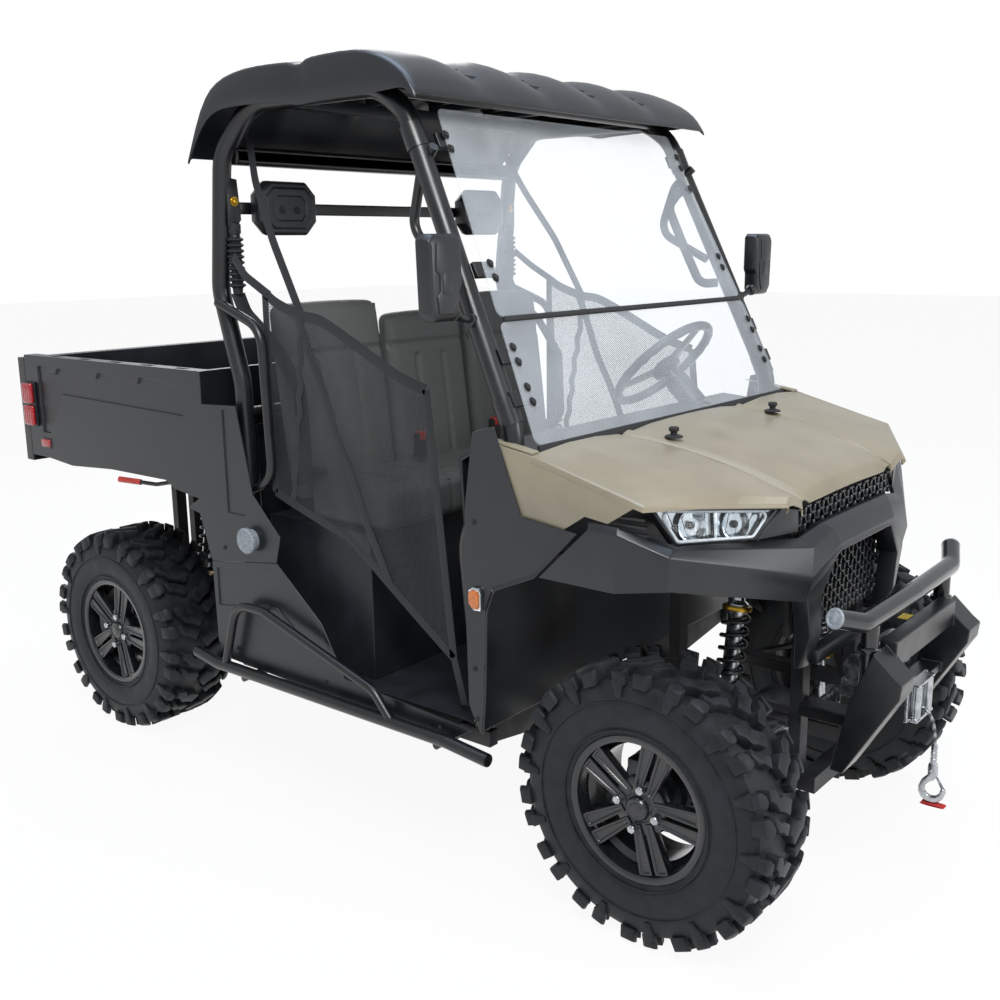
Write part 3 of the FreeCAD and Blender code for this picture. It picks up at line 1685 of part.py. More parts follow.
def mirror_unit():
    """A side mirror on a short arm off the pillar."""
    x = 712
    tall = number(size.mirror_height)
    outline = [
        (x - 50, 1335 + tall - 8),
        (x - 40, 1335 + tall),
        (x + 40, 1335 + tall),
        (x + 52, 1335 + tall - 12),
        (x + 46, 1352),
        (x + 32, 1335),
        (x - 30, 1335),
        (x - 42, 1348),
        (x - 42, 1396),
        (x - 52, 1410),
    ]
    head = rounded(front_plate(outline, -560, -515), 7, runs_along(Y_AXIS))
    arm = rod(Vector(590, -528, 1330), Vector(x - 20, -540, 1350), 10)
    return clear_of_cage(joined([head, arm]), seat_gap)


feature("mirrors", both_sides(mirror_unit()))


hip_bar_x = 612
hip_bar_radius = 12.5
net_wall = 3


def nets():
    """The side nets, each a thin sheet between the pillar, the seat and the floor."""
    outline = [
        (158, 1380),
        (-44, 1317),
        (-383, 1176),
        (-405, 729),
        (-452, 545),
        (-117, 781),
        (158, 850),
    ]
    x = hip_bar_x - hip_bar_radius - seat_gap
    return both_sides(side_plate(outline, x - net_wall, x))


feature("side_nets", nets())


def hip_bar():
    points = [
        Vector(hip_bar_x, 330, 1352),
        Vector(hip_bar_x, 165, 1290),
        Vector(hip_bar_x, 150, 900),
        Vector(hip_bar_x, 285, 845),
    ]
    return bent_tube(points, hip_bar_radius, 60)


feature("hip_bars", both_sides(clear_of_cage(hip_bar(), seat_gap)))


def retractor():
    low = Vector(528, 300, 1370)
    high = Vector(528, 300, 1560)
    bracket = box(Vector(520, 292, 1540), Vector(590, 308, 1552))
    return clear_of_cage(joined([rod(low, high, 22), bracket]), seat_gap)


feature("belt_retractors", both_sides(retractor()))


def step_bar():
    x = 668
    rail = bent_tube(
        [Vector(x - 6, 454, 383), Vector(x, 360, 372), Vector(x, -480, 372), Vector(x - 6, -601, 356)], 16, 150
    )
    loop = bent_tube(
        [Vector(x, 323, 375), Vector(x, 262, 560), Vector(x, 150, 560), Vector(x, -250, 440), Vector(x, -311, 370)], 12, 60
    )
    inner = number(size.side_rail_offset) + 30 + seat_gap
    mounts = [rod(Vector(inner, y, 352), Vector(x, y, 352), 10) for y in (250, -450)]
    return joined([rail, loop] + mounts)


feature("step_bars", both_sides(step_bar()))


def sunk_plate(outline, sunk, x, wall, depth):
    """A side plate at x with one area pressed inwards by a small depth."""
    corners = [spot(x, y, z) for y, z in sunk]
    wire = Part.makePolygon(corners + [corners[0]])
    plate = side_plate(outline, x - wall, x).cut(side_plate(sunk, x - wall - 1, x + 1))
    wide = Part.Face(wire.makeOffset2D(wall, 2))
    wide.translate(Vector(-(depth + wall), 0, 0))
    return joined([plate, wide.extrude(Vector(wall + 1, 0, 0)).cut(side_plate(sunk, x - depth, x + 1))])


def rocker():
    """The lower side panel from the rear arch to the door opening, pressed in under its top edge."""
    x = number(size.body_half_width)
    outline = [
        (332, 380),
        (-106, 366),
        (-477, 365),
        (-540, 404),
        (-120, 430),
        (-40, 560),
        (120, 690),
        (390, 652),
        (385, 421),
    ]
    sunk = [(372, 636), (132, 672), (-28, 548), (-84, 462), (-56, 456), (64, 520), (130, 566), (372, 530)]
    wall = number(size.panel_wall)
    low = number(side_rail_top) + seat_gap
    lip = box(Vector(number(size.side_rail_offset) + 5, -465, low), Vector(x - 1, 230, low + wall))
    return joined([sunk_plate(outline, sunk, x, wall, number(size.panel_relief)), lip])


feature("rocker_panels", both_sides(rocker()))


def corner_panel():
    """The upright panel behind the seats with a sunk front half, from the bed down to the rocker."""
    x = number(size.body_half_width)
    outline = [
        (403, 1084),
        (250, 1090),
        (200, 860),
        (100, 760),
        (120, 690.4),
        (390, 652.4),
        (432, 780),
        (485, 790),
        (403, 838),
    ]
    sunk = [(308, 1076), (262, 1080), (214, 866), (240, 800), (308, 800)]
    return sunk_plate(outline, sunk, x, number(size.panel_wall), number(size.panel_relief))


feature("rear_corner_panels", both_sides(corner_panel()))
feature("fuel_cap", rod(Vector(-number(size.body_half_width) - 0.3, 212, 740), Vector(-number(size.body_half_width) - 28, 212, 740), 35))


# Cargo bed and tailgate


def cargo_bed():
    """A moulded tub: floor, front wall and two side walls with broad top rails."""
    half = size.bed_half_width
    wall = size.bed_wall
    low = size.bed_floor_height
    body = new_body("cargo_bed")

    def floor(sketch):
        draw_outline(
            sketch,
            [
                (-half + 30, size.bed_front_y),
                (half - 30, size.bed_front_y),
                (half - 30, size.bed_back_y),
                (-half + 30, size.bed_back_y),
            ],
        )

    pad(body, "XY_Plane", low, size.bed_rail_height, floor)

    def inside(sketch):
        draw_outline(
            sketch,
            [
                (-half + size.bed_rail_width, size.bed_front_y + wall * 2),
                (half - size.bed_rail_width, size.bed_front_y + wall * 2),
                (half - size.bed_rail_width, size.bed_back_y + 10),
                (-half + size.bed_rail_width, size.bed_back_y + 10),
            ],
        )

    pocket(body, "XY_Plane", low + wall, size.bed_rail_height + 10, inside)
    top = size.bed_rail_height
    front = size.bed_front_y
    back = size.bed_back_y

    def hollow(sketch):
        for side in (1, -1):
            near = side * (half - size.bed_rail_width + wall)
            far = side * (half - 30 - wall)
            start, end = front + wall, back - wall
            draw_outline(sketch, [(near, start), (far, start), (far, end), (near, end)])

    pocket(body, "XY_Plane", low - 1, top - wall, hollow)

    def relief(sketch):
        edge = [(back - 76, top - 239), (back - 76, top - 31), (back - 132, top - 32)]
        for step in (132, 354, 564):
            edge += [(back - step - 8, top - 51), (back - step - 44, top - 53), (back - step - 56, top - 34)]
            edge += [(back - step - 120, top - 36)]
        edge += [(front + 86, top - 50), (front + 86, top - 127), (back - 204, top - 111)]
        edge += [(back - 116, top - 239)]
        draw_outline(sketch, edge)

    def slots(sketch):
        for side in (1, -1):
            for n in range(5):
                start = back - 120 - n * 160
                near, far = side * (half - 62), side * (half - 44)
                draw_outline(sketch, [(near, start), (far, start), (far, start - 60), (near, start - 60)])

    pocket(body, "XY_Plane", top - 6, top + 1, slots)

    def ribs(sketch):
        for n in range(7):
            x = (n - 3) * 160
            start, end = front + 60, back - 60
            draw_outline(sketch, [(x - 20, start), (x + 20, start), (x + 20, end), (x - 20, end)])

    pad(body, "XY_Plane", low + wall - 1, low + wall + 4, ribs)

    def skirt(sketch):
        corner = [(front, low + 1), (front, low - 35), (front + 36, low - 35)]
        draw_outline(sketch, corner + [(front + 147, low - 21), (front + 193, low + 1)])
        draw_outline(sketch, [(back - 457, low + 1), (back - 226, low - 13), (back - 72, low + 1)])

    skin_out = half - 30
    pocket(body, "YZ_Plane", skin_out - size.bed_relief, skin_out + 1, relief)
    pocket(body, "YZ_Plane", -skin_out - 1, -skin_out + size.bed_relief, relief)
    pad(body, "YZ_Plane", skin_out - wall, skin_out, skirt)
    pad(body, "YZ_Plane", -skin_out, -skin_out + wall, skirt)

    def skids(sketch):
        for side in (1, -1):
            near = side * size.rail_offset - 15
            far = side * size.rail_offset + 15
            front = size.bed_front_y + 20
            back = hinge_y - 40
            draw_outline(sketch, [(near, front), (far, front), (far, back), (near, back)])

    pad(body, "XY_Plane", low - size.bed_skid, low + 1, skids)

    def ear(sketch):
        reach = size.hinge_pin / 2 + 12
        corners = [(hinge_y - reach, low + 1), (hinge_y - reach, hinge_z), (hinge_y - 9, hinge_z - reach)]
        corners += [(hinge_y + 9, hinge_z - reach), (hinge_y + reach, hinge_z), (hinge_y + reach, low + 1)]
        draw_outline(sketch, corners)
        draw_circle(sketch, hinge_y, hinge_z, size.hinge_pin / 2 + seat_gap)

    for side in (1, -1):
        middle = side * (hinge_ear + 5)
        pad(body, "YZ_Plane", middle - 5, middle + 5, ear)
    return body


cargo_bed()


def tailgate():
    half = size.bed_half_width - 30
    gap = size.panel_gap
    body = new_body("tailgate")

    def gate(sketch):
        draw_outline(
            sketch,
            [
                (-half, size.bed_floor_height - 20),
                (half, size.bed_floor_height - 20),
                (half, size.bed_rail_height - 10),
                (-half, size.bed_rail_height - 10),
            ],
        )

    back = size.bed_back_y + gap + size.tailgate_thick
    pad(body, "XZ_Plane", size.bed_back_y + gap, back, gate)

    def press(sketch):
        low, high = size.bed_floor_height + 25, size.bed_rail_height - 75
        for side in (1, -1):
            far = side * (half - 60)
            draw_outline(sketch, [(side * 70, low), (far, low), (far - side * 50, high), (side * 70, high)])

    pocket(body, "XZ_Plane", back - 8, back + 1, press)


tailgate()
feature(
    "tail_lamps",
    both_sides(
        box(
            Vector(number(size.bed_half_width) - 29.7, number(size.bed_back_y) - 60, 945),
            Vector(number(size.bed_half_width) - 8, number(size.bed_back_y), 1086),
        )
    ),
)


def release_lever():
    x = number(size.bed_half_width) - 70
    z = number(size.bed_floor_height)
    return bent_tube(
        [
            Vector(x, 520, z - 7.3),
            Vector(x, 590, z - 7.3),
            Vector(x + 22, 673, z - 24),
            Vector(x + 64, 794, z - 16),
        ],
        7,
        40,
    )


feature("bed_release_levers", both_sides(release_lever()))


def tow_receiver():
    back = number(size.hitch_back_y)
    low = number(size.rail_bottom)
    outer = box(Vector(-32, number(size.frame_back) + 0.3, low), Vector(32, back, low + 64))
    bore = number(size.receiver_bore) / 2
    hole = box(Vector(-bore, back - 100, low + 32 - bore), Vector(bore, back + 1, low + 32 + bore))
    return outer.cut(hole)


feature("tow_receiver", tow_receiver())

doc.recompute()


def check_and_write():
    """Checks every object and writes each sub-part's solids to its own file."""
    for thing in doc.Objects:
        if "Invalid" in thing.State or "Error" in thing.State:
            raise ValueError("%s did not build" % thing.Label)
    os.makedirs("parts", exist_ok=True)
    bad = []
    for label, thing in nodes.items():
        shape = thing.Shape
        if shape.isNull() or not shape.isValid() or not shape.Solids:
            bad.append(label)
            continue
        shape.exportStep("parts/%s.step" % label)
    if bad:
        raise ValueError("no valid solid: " + ", ".join(bad))
    print("%d sub-parts written" % len(nodes))


check_and_write()
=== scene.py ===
"""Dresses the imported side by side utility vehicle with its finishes, soft parts and fine details."""

import math

import bpy
from mathutils import Matrix, Vector


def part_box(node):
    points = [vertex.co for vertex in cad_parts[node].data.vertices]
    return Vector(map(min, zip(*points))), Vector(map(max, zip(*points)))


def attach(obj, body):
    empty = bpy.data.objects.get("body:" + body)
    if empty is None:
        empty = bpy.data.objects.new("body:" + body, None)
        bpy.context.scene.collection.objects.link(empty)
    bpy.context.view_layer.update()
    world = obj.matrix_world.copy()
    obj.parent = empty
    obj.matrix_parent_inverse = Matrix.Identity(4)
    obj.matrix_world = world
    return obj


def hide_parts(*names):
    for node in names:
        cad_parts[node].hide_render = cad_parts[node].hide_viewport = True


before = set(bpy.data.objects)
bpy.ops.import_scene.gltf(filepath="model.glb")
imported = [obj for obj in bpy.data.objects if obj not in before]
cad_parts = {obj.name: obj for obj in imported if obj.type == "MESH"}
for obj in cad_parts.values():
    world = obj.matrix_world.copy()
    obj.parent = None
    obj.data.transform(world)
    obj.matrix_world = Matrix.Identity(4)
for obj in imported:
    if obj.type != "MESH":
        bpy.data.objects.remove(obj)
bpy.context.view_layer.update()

bl_info = {"name": "Side by side utility vehicle", "version": (1, 0, 0), "blender": (4, 5, 0),
    "location": "View3D > Sidebar > Vehicle",
    "description": "Builds the looks of a side by side utility vehicle round its packed parts",
    "category": "Object"}

FRONT_AXLE = -0.95
REAR_AXLE = 0.97
HUB_HEIGHT = 0.3175
ORIGIN = (0, 0, 0)
MIRROR = Matrix.Scale(-1, 4, Vector((1, 0, 0)))


# Plain helpers


def linear(code):
    """Turns an sRGB hex colour into the linear values that the shaders take."""
    steps = [int(code[i : i + 2], 16) / 255 for i in (1, 3, 5)]
    return tuple([c / 12.92 if c <= 0.04045 else ((c + 0.055) / 1.055) ** 2.4 for c in steps] + [1.0])


def per_mm(size):
    """The scale that gives a texture cells of this size in millimetres."""
    return 1000.0 / size


def add_node(tree, kind, links=None, **settings):
    """Adds one node with its settings and with what feeds its sockets."""
    node = tree.nodes.new(kind)
    for name, value in settings.items():
        setattr(node, name, value)
    for socket, source in (links or {}).items():
        if isinstance(source, bpy.types.NodeSocket):
            tree.links.new(source, node.inputs[socket])
        else:
            node.inputs[socket].default_value = source
    return node


def deselect():
    """Leaves edit mode and clears the selection."""
    if bpy.context.object and bpy.context.object.mode != "OBJECT":
        bpy.ops.object.mode_set(mode="OBJECT")
    bpy.ops.object.select_all(action="DESELECT")


def activate(*pieces):
    """Selects these pieces alone, the first of them active."""
    deselect()
    for piece in pieces:
        piece.select_set(True)
    bpy.context.view_layer.objects.active = pieces[0]


def edit(piece, select="SELECT"):
    """Opens a piece in edit mode with everything or nothing selected."""
    activate(piece)
    bpy.ops.object.mode_set(mode="EDIT")
    bpy.ops.mesh.select_all(action=select)


def leave():
    bpy.ops.object.mode_set(mode="OBJECT")


def choose(piece, test):
    """Selects, in edit mode, the faces whose outward direction passes a test."""
    edit(piece, "DESELECT")
    bpy.ops.mesh.select_mode(type="FACE")
    leave()
    for face in piece.data.polygons:
        face.select = bool(test(face.normal))
    bpy.ops.object.mode_set(mode="EDIT")


def modify(piece, kind, **settings):
    """Adds a modifier and applies it."""
    activate(piece)
    modifier = piece.modifiers.new(kind.title(), kind)
    for name, value in settings.items():
        setattr(modifier, name, value)
    bpy.ops.object.modifier_apply(modifier=modifier.name)
    return piece


def eased(piece, width, segments=2, angle=None):
    """Rounds the edges of a piece that turn by more than an angle, 30 degrees where none is given."""
    limit = {"angle_limit": angle} if angle else {}
    return modify(piece, "BEVEL", width=width, segments=segments, limit_method="ANGLE", **limit)


def smooth(piece, angle=35):
    """Shades a piece smooth up to an angle between its faces."""
    activate(piece)
    bpy.ops.object.shade_smooth_by_angle(angle=math.radians(angle))
    return piece


def clean(piece, distance=0.00002, outwards=True):
    """Merges doubles and points the faces outwards."""
    edit(piece)
    bpy.ops.mesh.remove_doubles(threshold=distance)
    if outwards:
        bpy.ops.mesh.normals_make_consistent(inside=False)
    leave()
    return piece


def settle(piece):
    """Puts the piece's place, turn and size into its mesh."""
    activate(piece)
    bpy.ops.object.transform_apply(location=True, rotation=True, scale=True)
    return piece


def join(name, pieces):
    """Joins pieces into one with a new name."""
    pieces = list(pieces)
    activate(*pieces)
    if len(pieces) > 1:
        bpy.ops.object.join()
    piece = bpy.context.view_layer.objects.active
    piece.name = piece.data.name = name
    return piece


def copied(piece, name, matrix=None):
    """A copy of a piece with a mesh of its own, moved by a matrix."""
    twin = piece.copy()
    twin.data = piece.data.copy()
    twin.name = twin.data.name = name
    bpy.context.collection.objects.link(twin)
    if matrix is not None:
        twin.data.transform(matrix)
        if matrix.determinant() < 0:
            twin.data.flip_normals()
    return twin


def both_sides(piece):
    """Adds the piece's mirror image on the vehicle's other side."""
    twin = copied(piece, piece.name + "_far", MIRROR)
    return join(piece.name, [piece, twin])


def put(piece, finish, *nodes, body="chassis"):
    """Gives a piece its body and its finish, and hides the nodes it stands for."""
    settle(piece)
    piece.data.materials.clear()
    piece.data.materials.append(finish_named(finish))
    for face in piece.data.polygons:
        face.material_index = 0
    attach(piece, body)
    if nodes:
        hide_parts(*nodes)
    return piece


def softened(node, width, segments=2):
    """A copy of a CAD node with its doubles merged and its edges rounded."""
    piece = copied(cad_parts[node], node + "_soft")
    clean(piece, 0.00001, outwards=False)
    edit(piece)
    bpy.ops.mesh.dissolve_limited(angle_limit=math.radians(1.0))
    leave()
    modify(piece, "BEVEL", width=width, segments=segments, limit_method="ANGLE",
        angle_limit=math.radians(24), use_clamp_overlap=False)
    smooth(piece, 40)
    return modify(piece, "WEIGHTED_NORMAL", keep_sharp=True)


def started(name, kind, **settings):
    """A new mesh primitive of a kind, named."""
    deselect()
    getattr(bpy.ops.mesh, "primitive_%s_add" % kind)(**settings)
    piece = bpy.context.object
    piece.name = piece.data.name = name
    return piece


def cube(size, place):
    """A plain box round a place, to be shaped further."""
    piece = started("box", "cube", size=1)
    piece.scale, piece.location = size, place
    return settle(piece)


def cylinder(corners, radius, depth, place, turn=ORIGIN):
    """A plain prism or cylinder round a place, to be shaped further."""
    piece = started("prism", "cylinder", vertices=corners, radius=radius, depth=depth, rotation=turn)
    piece.location = place
    return settle(piece)


def aimed(axis):
    """The turn that takes +Z to an axis."""
    return axis.to_track_quat("Z", "Y").to_matrix().to_4x4()


def dress(rows):
    """Puts softened copies of CAD nodes on their bodies, with their finishes."""
    for node, body, finish, width in rows:
        put(softened(node, width), finish, node, body=body)


def block(name, low, high, bevel=0.003, segments=2):
    """A rounded block between two corners."""
    low, high = Vector(low), Vector(high)
    piece = started(name, "cube", size=1, location=(low + high) / 2)
    piece.scale = high - low
    settle(piece)
    if bevel:
        eased(piece, bevel, segments)
    return smooth(piece, 40)


def plate(name, corners, push, bevel=0.001, segments=2):
    """A flat plate: a many-cornered outline pushed out to a thickness, with its edges eased."""
    corners = [Vector(c) for c in corners]
    piece = started(name, "circle", vertices=len(corners), radius=1, fill_type="NGON")
    for vertex, corner in zip(piece.data.vertices, corners):
        vertex.co = corner
    edit(piece)
    bpy.ops.mesh.extrude_region_move(TRANSFORM_OT_translate={"value": Vector(push)})
    leave()
    clean(piece)
    if bevel:
        eased(piece, bevel, segments, 0.6)
    return smooth(piece, 35)


def net(name, rows):
    """A grid whose corners are moved to rows of points."""
    high, wide = len(rows), len(rows[0])
    piece = started(name, "grid", x_subdivisions=wide - 1, y_subdivisions=high - 1, size=1)
    for vertex in piece.data.vertices:
        column = round((vertex.co.x + 0.5) * (wide - 1))
        row = round((vertex.co.y + 0.5) * (high - 1))
        vertex.co = rows[row][column]
    return clean(piece, 0.0004)


def lofted(name, sections, bevel=0.001, segments=2):
    """A solid through closed sections that have the same number of corners, its edges rounded."""
    piece = net(name, [list(section) + [section[0]] for section in sections])
    edit(piece)
    bpy.ops.mesh.fill_holes(sides=0)
    bpy.ops.mesh.normals_make_consistent(inside=False)
    leave()
    if bevel:
        eased(piece, bevel, segments, 0.5)
    return smooth(piece, 35)


def panel(name, rows, wall, fold=0.006, rim=0.0008, outward=(0, 0, 1), levels=0, angle=38):
    """A sheet laid over rows of points, its folds rounded, then thickened behind its outer face."""
    piece = net(name, rows)
    way = sum((face.normal * face.area for face in piece.data.polygons), Vector())
    if way.dot(Vector(outward)) < 0:
        edit(piece)
        bpy.ops.mesh.flip_normals()
        leave()
    if levels:
        modify(piece, "SUBSURF", levels=levels, render_levels=levels)
    if fold:
        eased(piece, fold, 3, math.radians(5))
    modify(piece, "SOLIDIFY", thickness=wall, offset=-1, use_even_offset=True)
    if rim:
        eased(piece, rim, 2, math.radians(60))
    return smooth(piece, angle)


def rounded_route(points, bend):
    """The points of a line whose corners are turned at a radius, for stiff bent tube."""
    points = [Vector(p) for p in points]
    route = [points[0]]
    for before, corner, after in zip(points, points[1:], points[2:]):
        into, out = (corner - before).normalized(), (after - corner).normalized()
        turn = into.angle(out)
        if turn < 0.02:
            route.append(corner)
            continue
        reach = bend * math.tan(turn / 2)
        reach = min(reach, (corner - before).length * 0.49, (after - corner).length * 0.49)
        radius = reach / math.tan(turn / 2)
        start = corner - into * reach
        middle = start + (out - into * into.dot(out)).normalized() * radius
        arm = start - middle
        axis = into.cross(out).normalized()
        steps = max(3, round(math.degrees(turn) / 9))
        for step in range(steps + 1):
            route.append(middle + Matrix.Rotation(turn * step / steps, 3, axis) @ arm)
    route.append(points[-1])
    return route


def wire(name, route, radius, sides, kind="POLY"):
    """A round line through points, as a curve with closed ends."""
    curve = bpy.data.curves.new(name, "CURVE")
    curve.dimensions = "3D"
    curve.bevel_depth = radius
    curve.bevel_resolution = sides
    curve.use_fill_caps = True
    spline = curve.splines.new(kind)
    spline.points.add(len(route) - 1)
    for point, place in zip(spline.points, route):
        point.co = (*place, 1)
    piece = bpy.data.objects.new(name, curve)
    bpy.context.collection.objects.link(piece)
    return piece


def tube(name, points, radius, bend=0.06, sides=8, closed=False):
    """A bent tube as a mesh with closed ends."""
    route = [Vector(p) for p in points] if closed else rounded_route(points, bend)
    piece = wire(name, route, radius, sides)
    piece.data.splines[0].use_cyclic_u = closed
    activate(piece)
    bpy.ops.object.convert(target="MESH")
    clean(piece, 0.00001)
    return smooth(piece, 50)


def turned(name, profile, centre, axis="X", steps=64, closed=False):
    """A shape spun from (along, radius) points round an axis through a centre."""
    count = len(profile)
    piece = started(name, "circle", vertices=count, radius=1, fill_type="NOTHING")
    centre = Vector(centre)
    along = {"X": Vector((1, 0, 0)), "Y": Vector((0, 1, 0)), "Z": Vector((0, 0, 1))}[axis]
    out = Vector((0, 0, 1)) if axis != "Z" else Vector((1, 0, 0))
    for vertex, (distance, radius) in zip(piece.data.vertices, profile):
        vertex.co = centre + along * distance + out * radius
    if not closed:
        edit(piece, "DESELECT")
        bpy.ops.mesh.select_mode(type="EDGE")
        leave()
        for edge in piece.data.edges:
            edge.select = set(edge.vertices) == {0, count - 1}
        bpy.ops.object.mode_set(mode="EDIT")
        bpy.ops.mesh.delete(type="EDGE_FACE")
        leave()
    edit(piece)
    bpy.ops.mesh.spin(steps=steps, angle=math.tau, center=centre, axis=along)
    leave()
    clean(piece)
    return smooth(piece, 35)


def ring_of(piece, count, centre, axis, name, offset=0.0):
    """Copies of a piece set round an axis, joined in one."""
    made = []
    centre = Vector(centre)
    for i in range(count):
        turn = math.tau * (i + offset) / count
        matrix = Matrix.Translation(centre) @ Matrix.Rotation(turn, 4, axis) @ Matrix.Translation(-centre)
        made.append(copied(piece, "%s_%d" % (name, i), matrix))
    bpy.data.objects.remove(piece)
    return join(name, made)


def bolt(name, place, axis, radius=0.006, height=0.004):
    """A domed bolt head on a washer, facing along an axis."""
    axis = Vector(axis).normalized()
    head = cylinder(6, radius, height, (0, 0, height * 0.5 + 0.001))
    eased(head, radius * 0.16, 2)
    washer = cylinder(20, radius * 1.45, 0.0015, (0, 0, 0.00075))
    eased(washer, 0.0004, 1)
    piece = join(name, [head, washer])
    piece.data.transform(Matrix.Translation(Vector(place)) @ aimed(axis))
    return smooth(piece, 35)


# Finishes. Each is named for the real material; the comment says what it gives the eye.


def surface(name, colour, **sockets):
    """A material with one principled shader, its constant values set on the shader itself."""
    material = bpy.data.materials.new(name)
    material.use_nodes = True
    tree = material.node_tree
    shader = next(n for n in tree.nodes if n.type == "BSDF_PRINCIPLED")
    shader.inputs["Base Color"].default_value = linear(colour)
    for socket, value in sockets.items():
        shader.inputs[socket.replace("_", " ")].default_value = value
    return material, tree, shader


def mottle(tree, shader, light, dark, size, rough, drift, detail=4.0, least=0.32, most=0.68):
    """Broad uneven colour and roughness, as handling and moulding leave; gives the object's coordinates."""
    where = add_node(tree, "ShaderNodeTexCoord").outputs["Object"]
    cloud = add_node(tree, "ShaderNodeTexNoise", {"Vector": where, "Scale": per_mm(size), "Detail": detail})
    haze = cloud.outputs["Fac"]
    share = add_node(tree, "ShaderNodeMapRange", {"Value": haze, "From Min": least, "From Max": most})
    mixed = {0: share.outputs["Result"], 6: linear(dark), 7: linear(light)}
    shade = add_node(tree, "ShaderNodeMix", mixed, data_type="RGBA")
    tree.links.new(shade.outputs[2], shader.inputs["Base Color"])
    vary(tree, shader, "Roughness", haze, 0.3, 0.7, rough - drift, rough + drift)
    return where


def vary(tree, shader, socket, value, low, high, to_low, to_high):
    """Lets a pattern's value, stretched over a range, drive one of the shader's sockets."""
    reach = {"Value": value, "From Min": low, "From Max": high, "To Min": to_low, "To Max": to_high}
    stretched = add_node(tree, "ShaderNodeMapRange", reach)
    tree.links.new(stretched.outputs["Result"], shader.inputs[socket])


def relief(tree, shader, height, strength, distance):
    """Raises the surface by a pattern's value."""
    bump = add_node(tree, "ShaderNodeBump", {"Height": height, "Strength": strength, "Distance": distance})
    tree.links.new(bump.outputs["Normal"], shader.inputs["Normal"])


def grain(tree, shader, where, size, strength, distance, kind="ShaderNodeTexNoise"):
    """A fine relief over the surface."""
    fine = add_node(tree, kind, {"Vector": where, "Scale": per_mm(size)})
    relief(tree, shader, fine.outputs["Distance" if kind == PEBBLES else "Fac"], strength, distance)


PEBBLES = "ShaderNodeTexVoronoi"

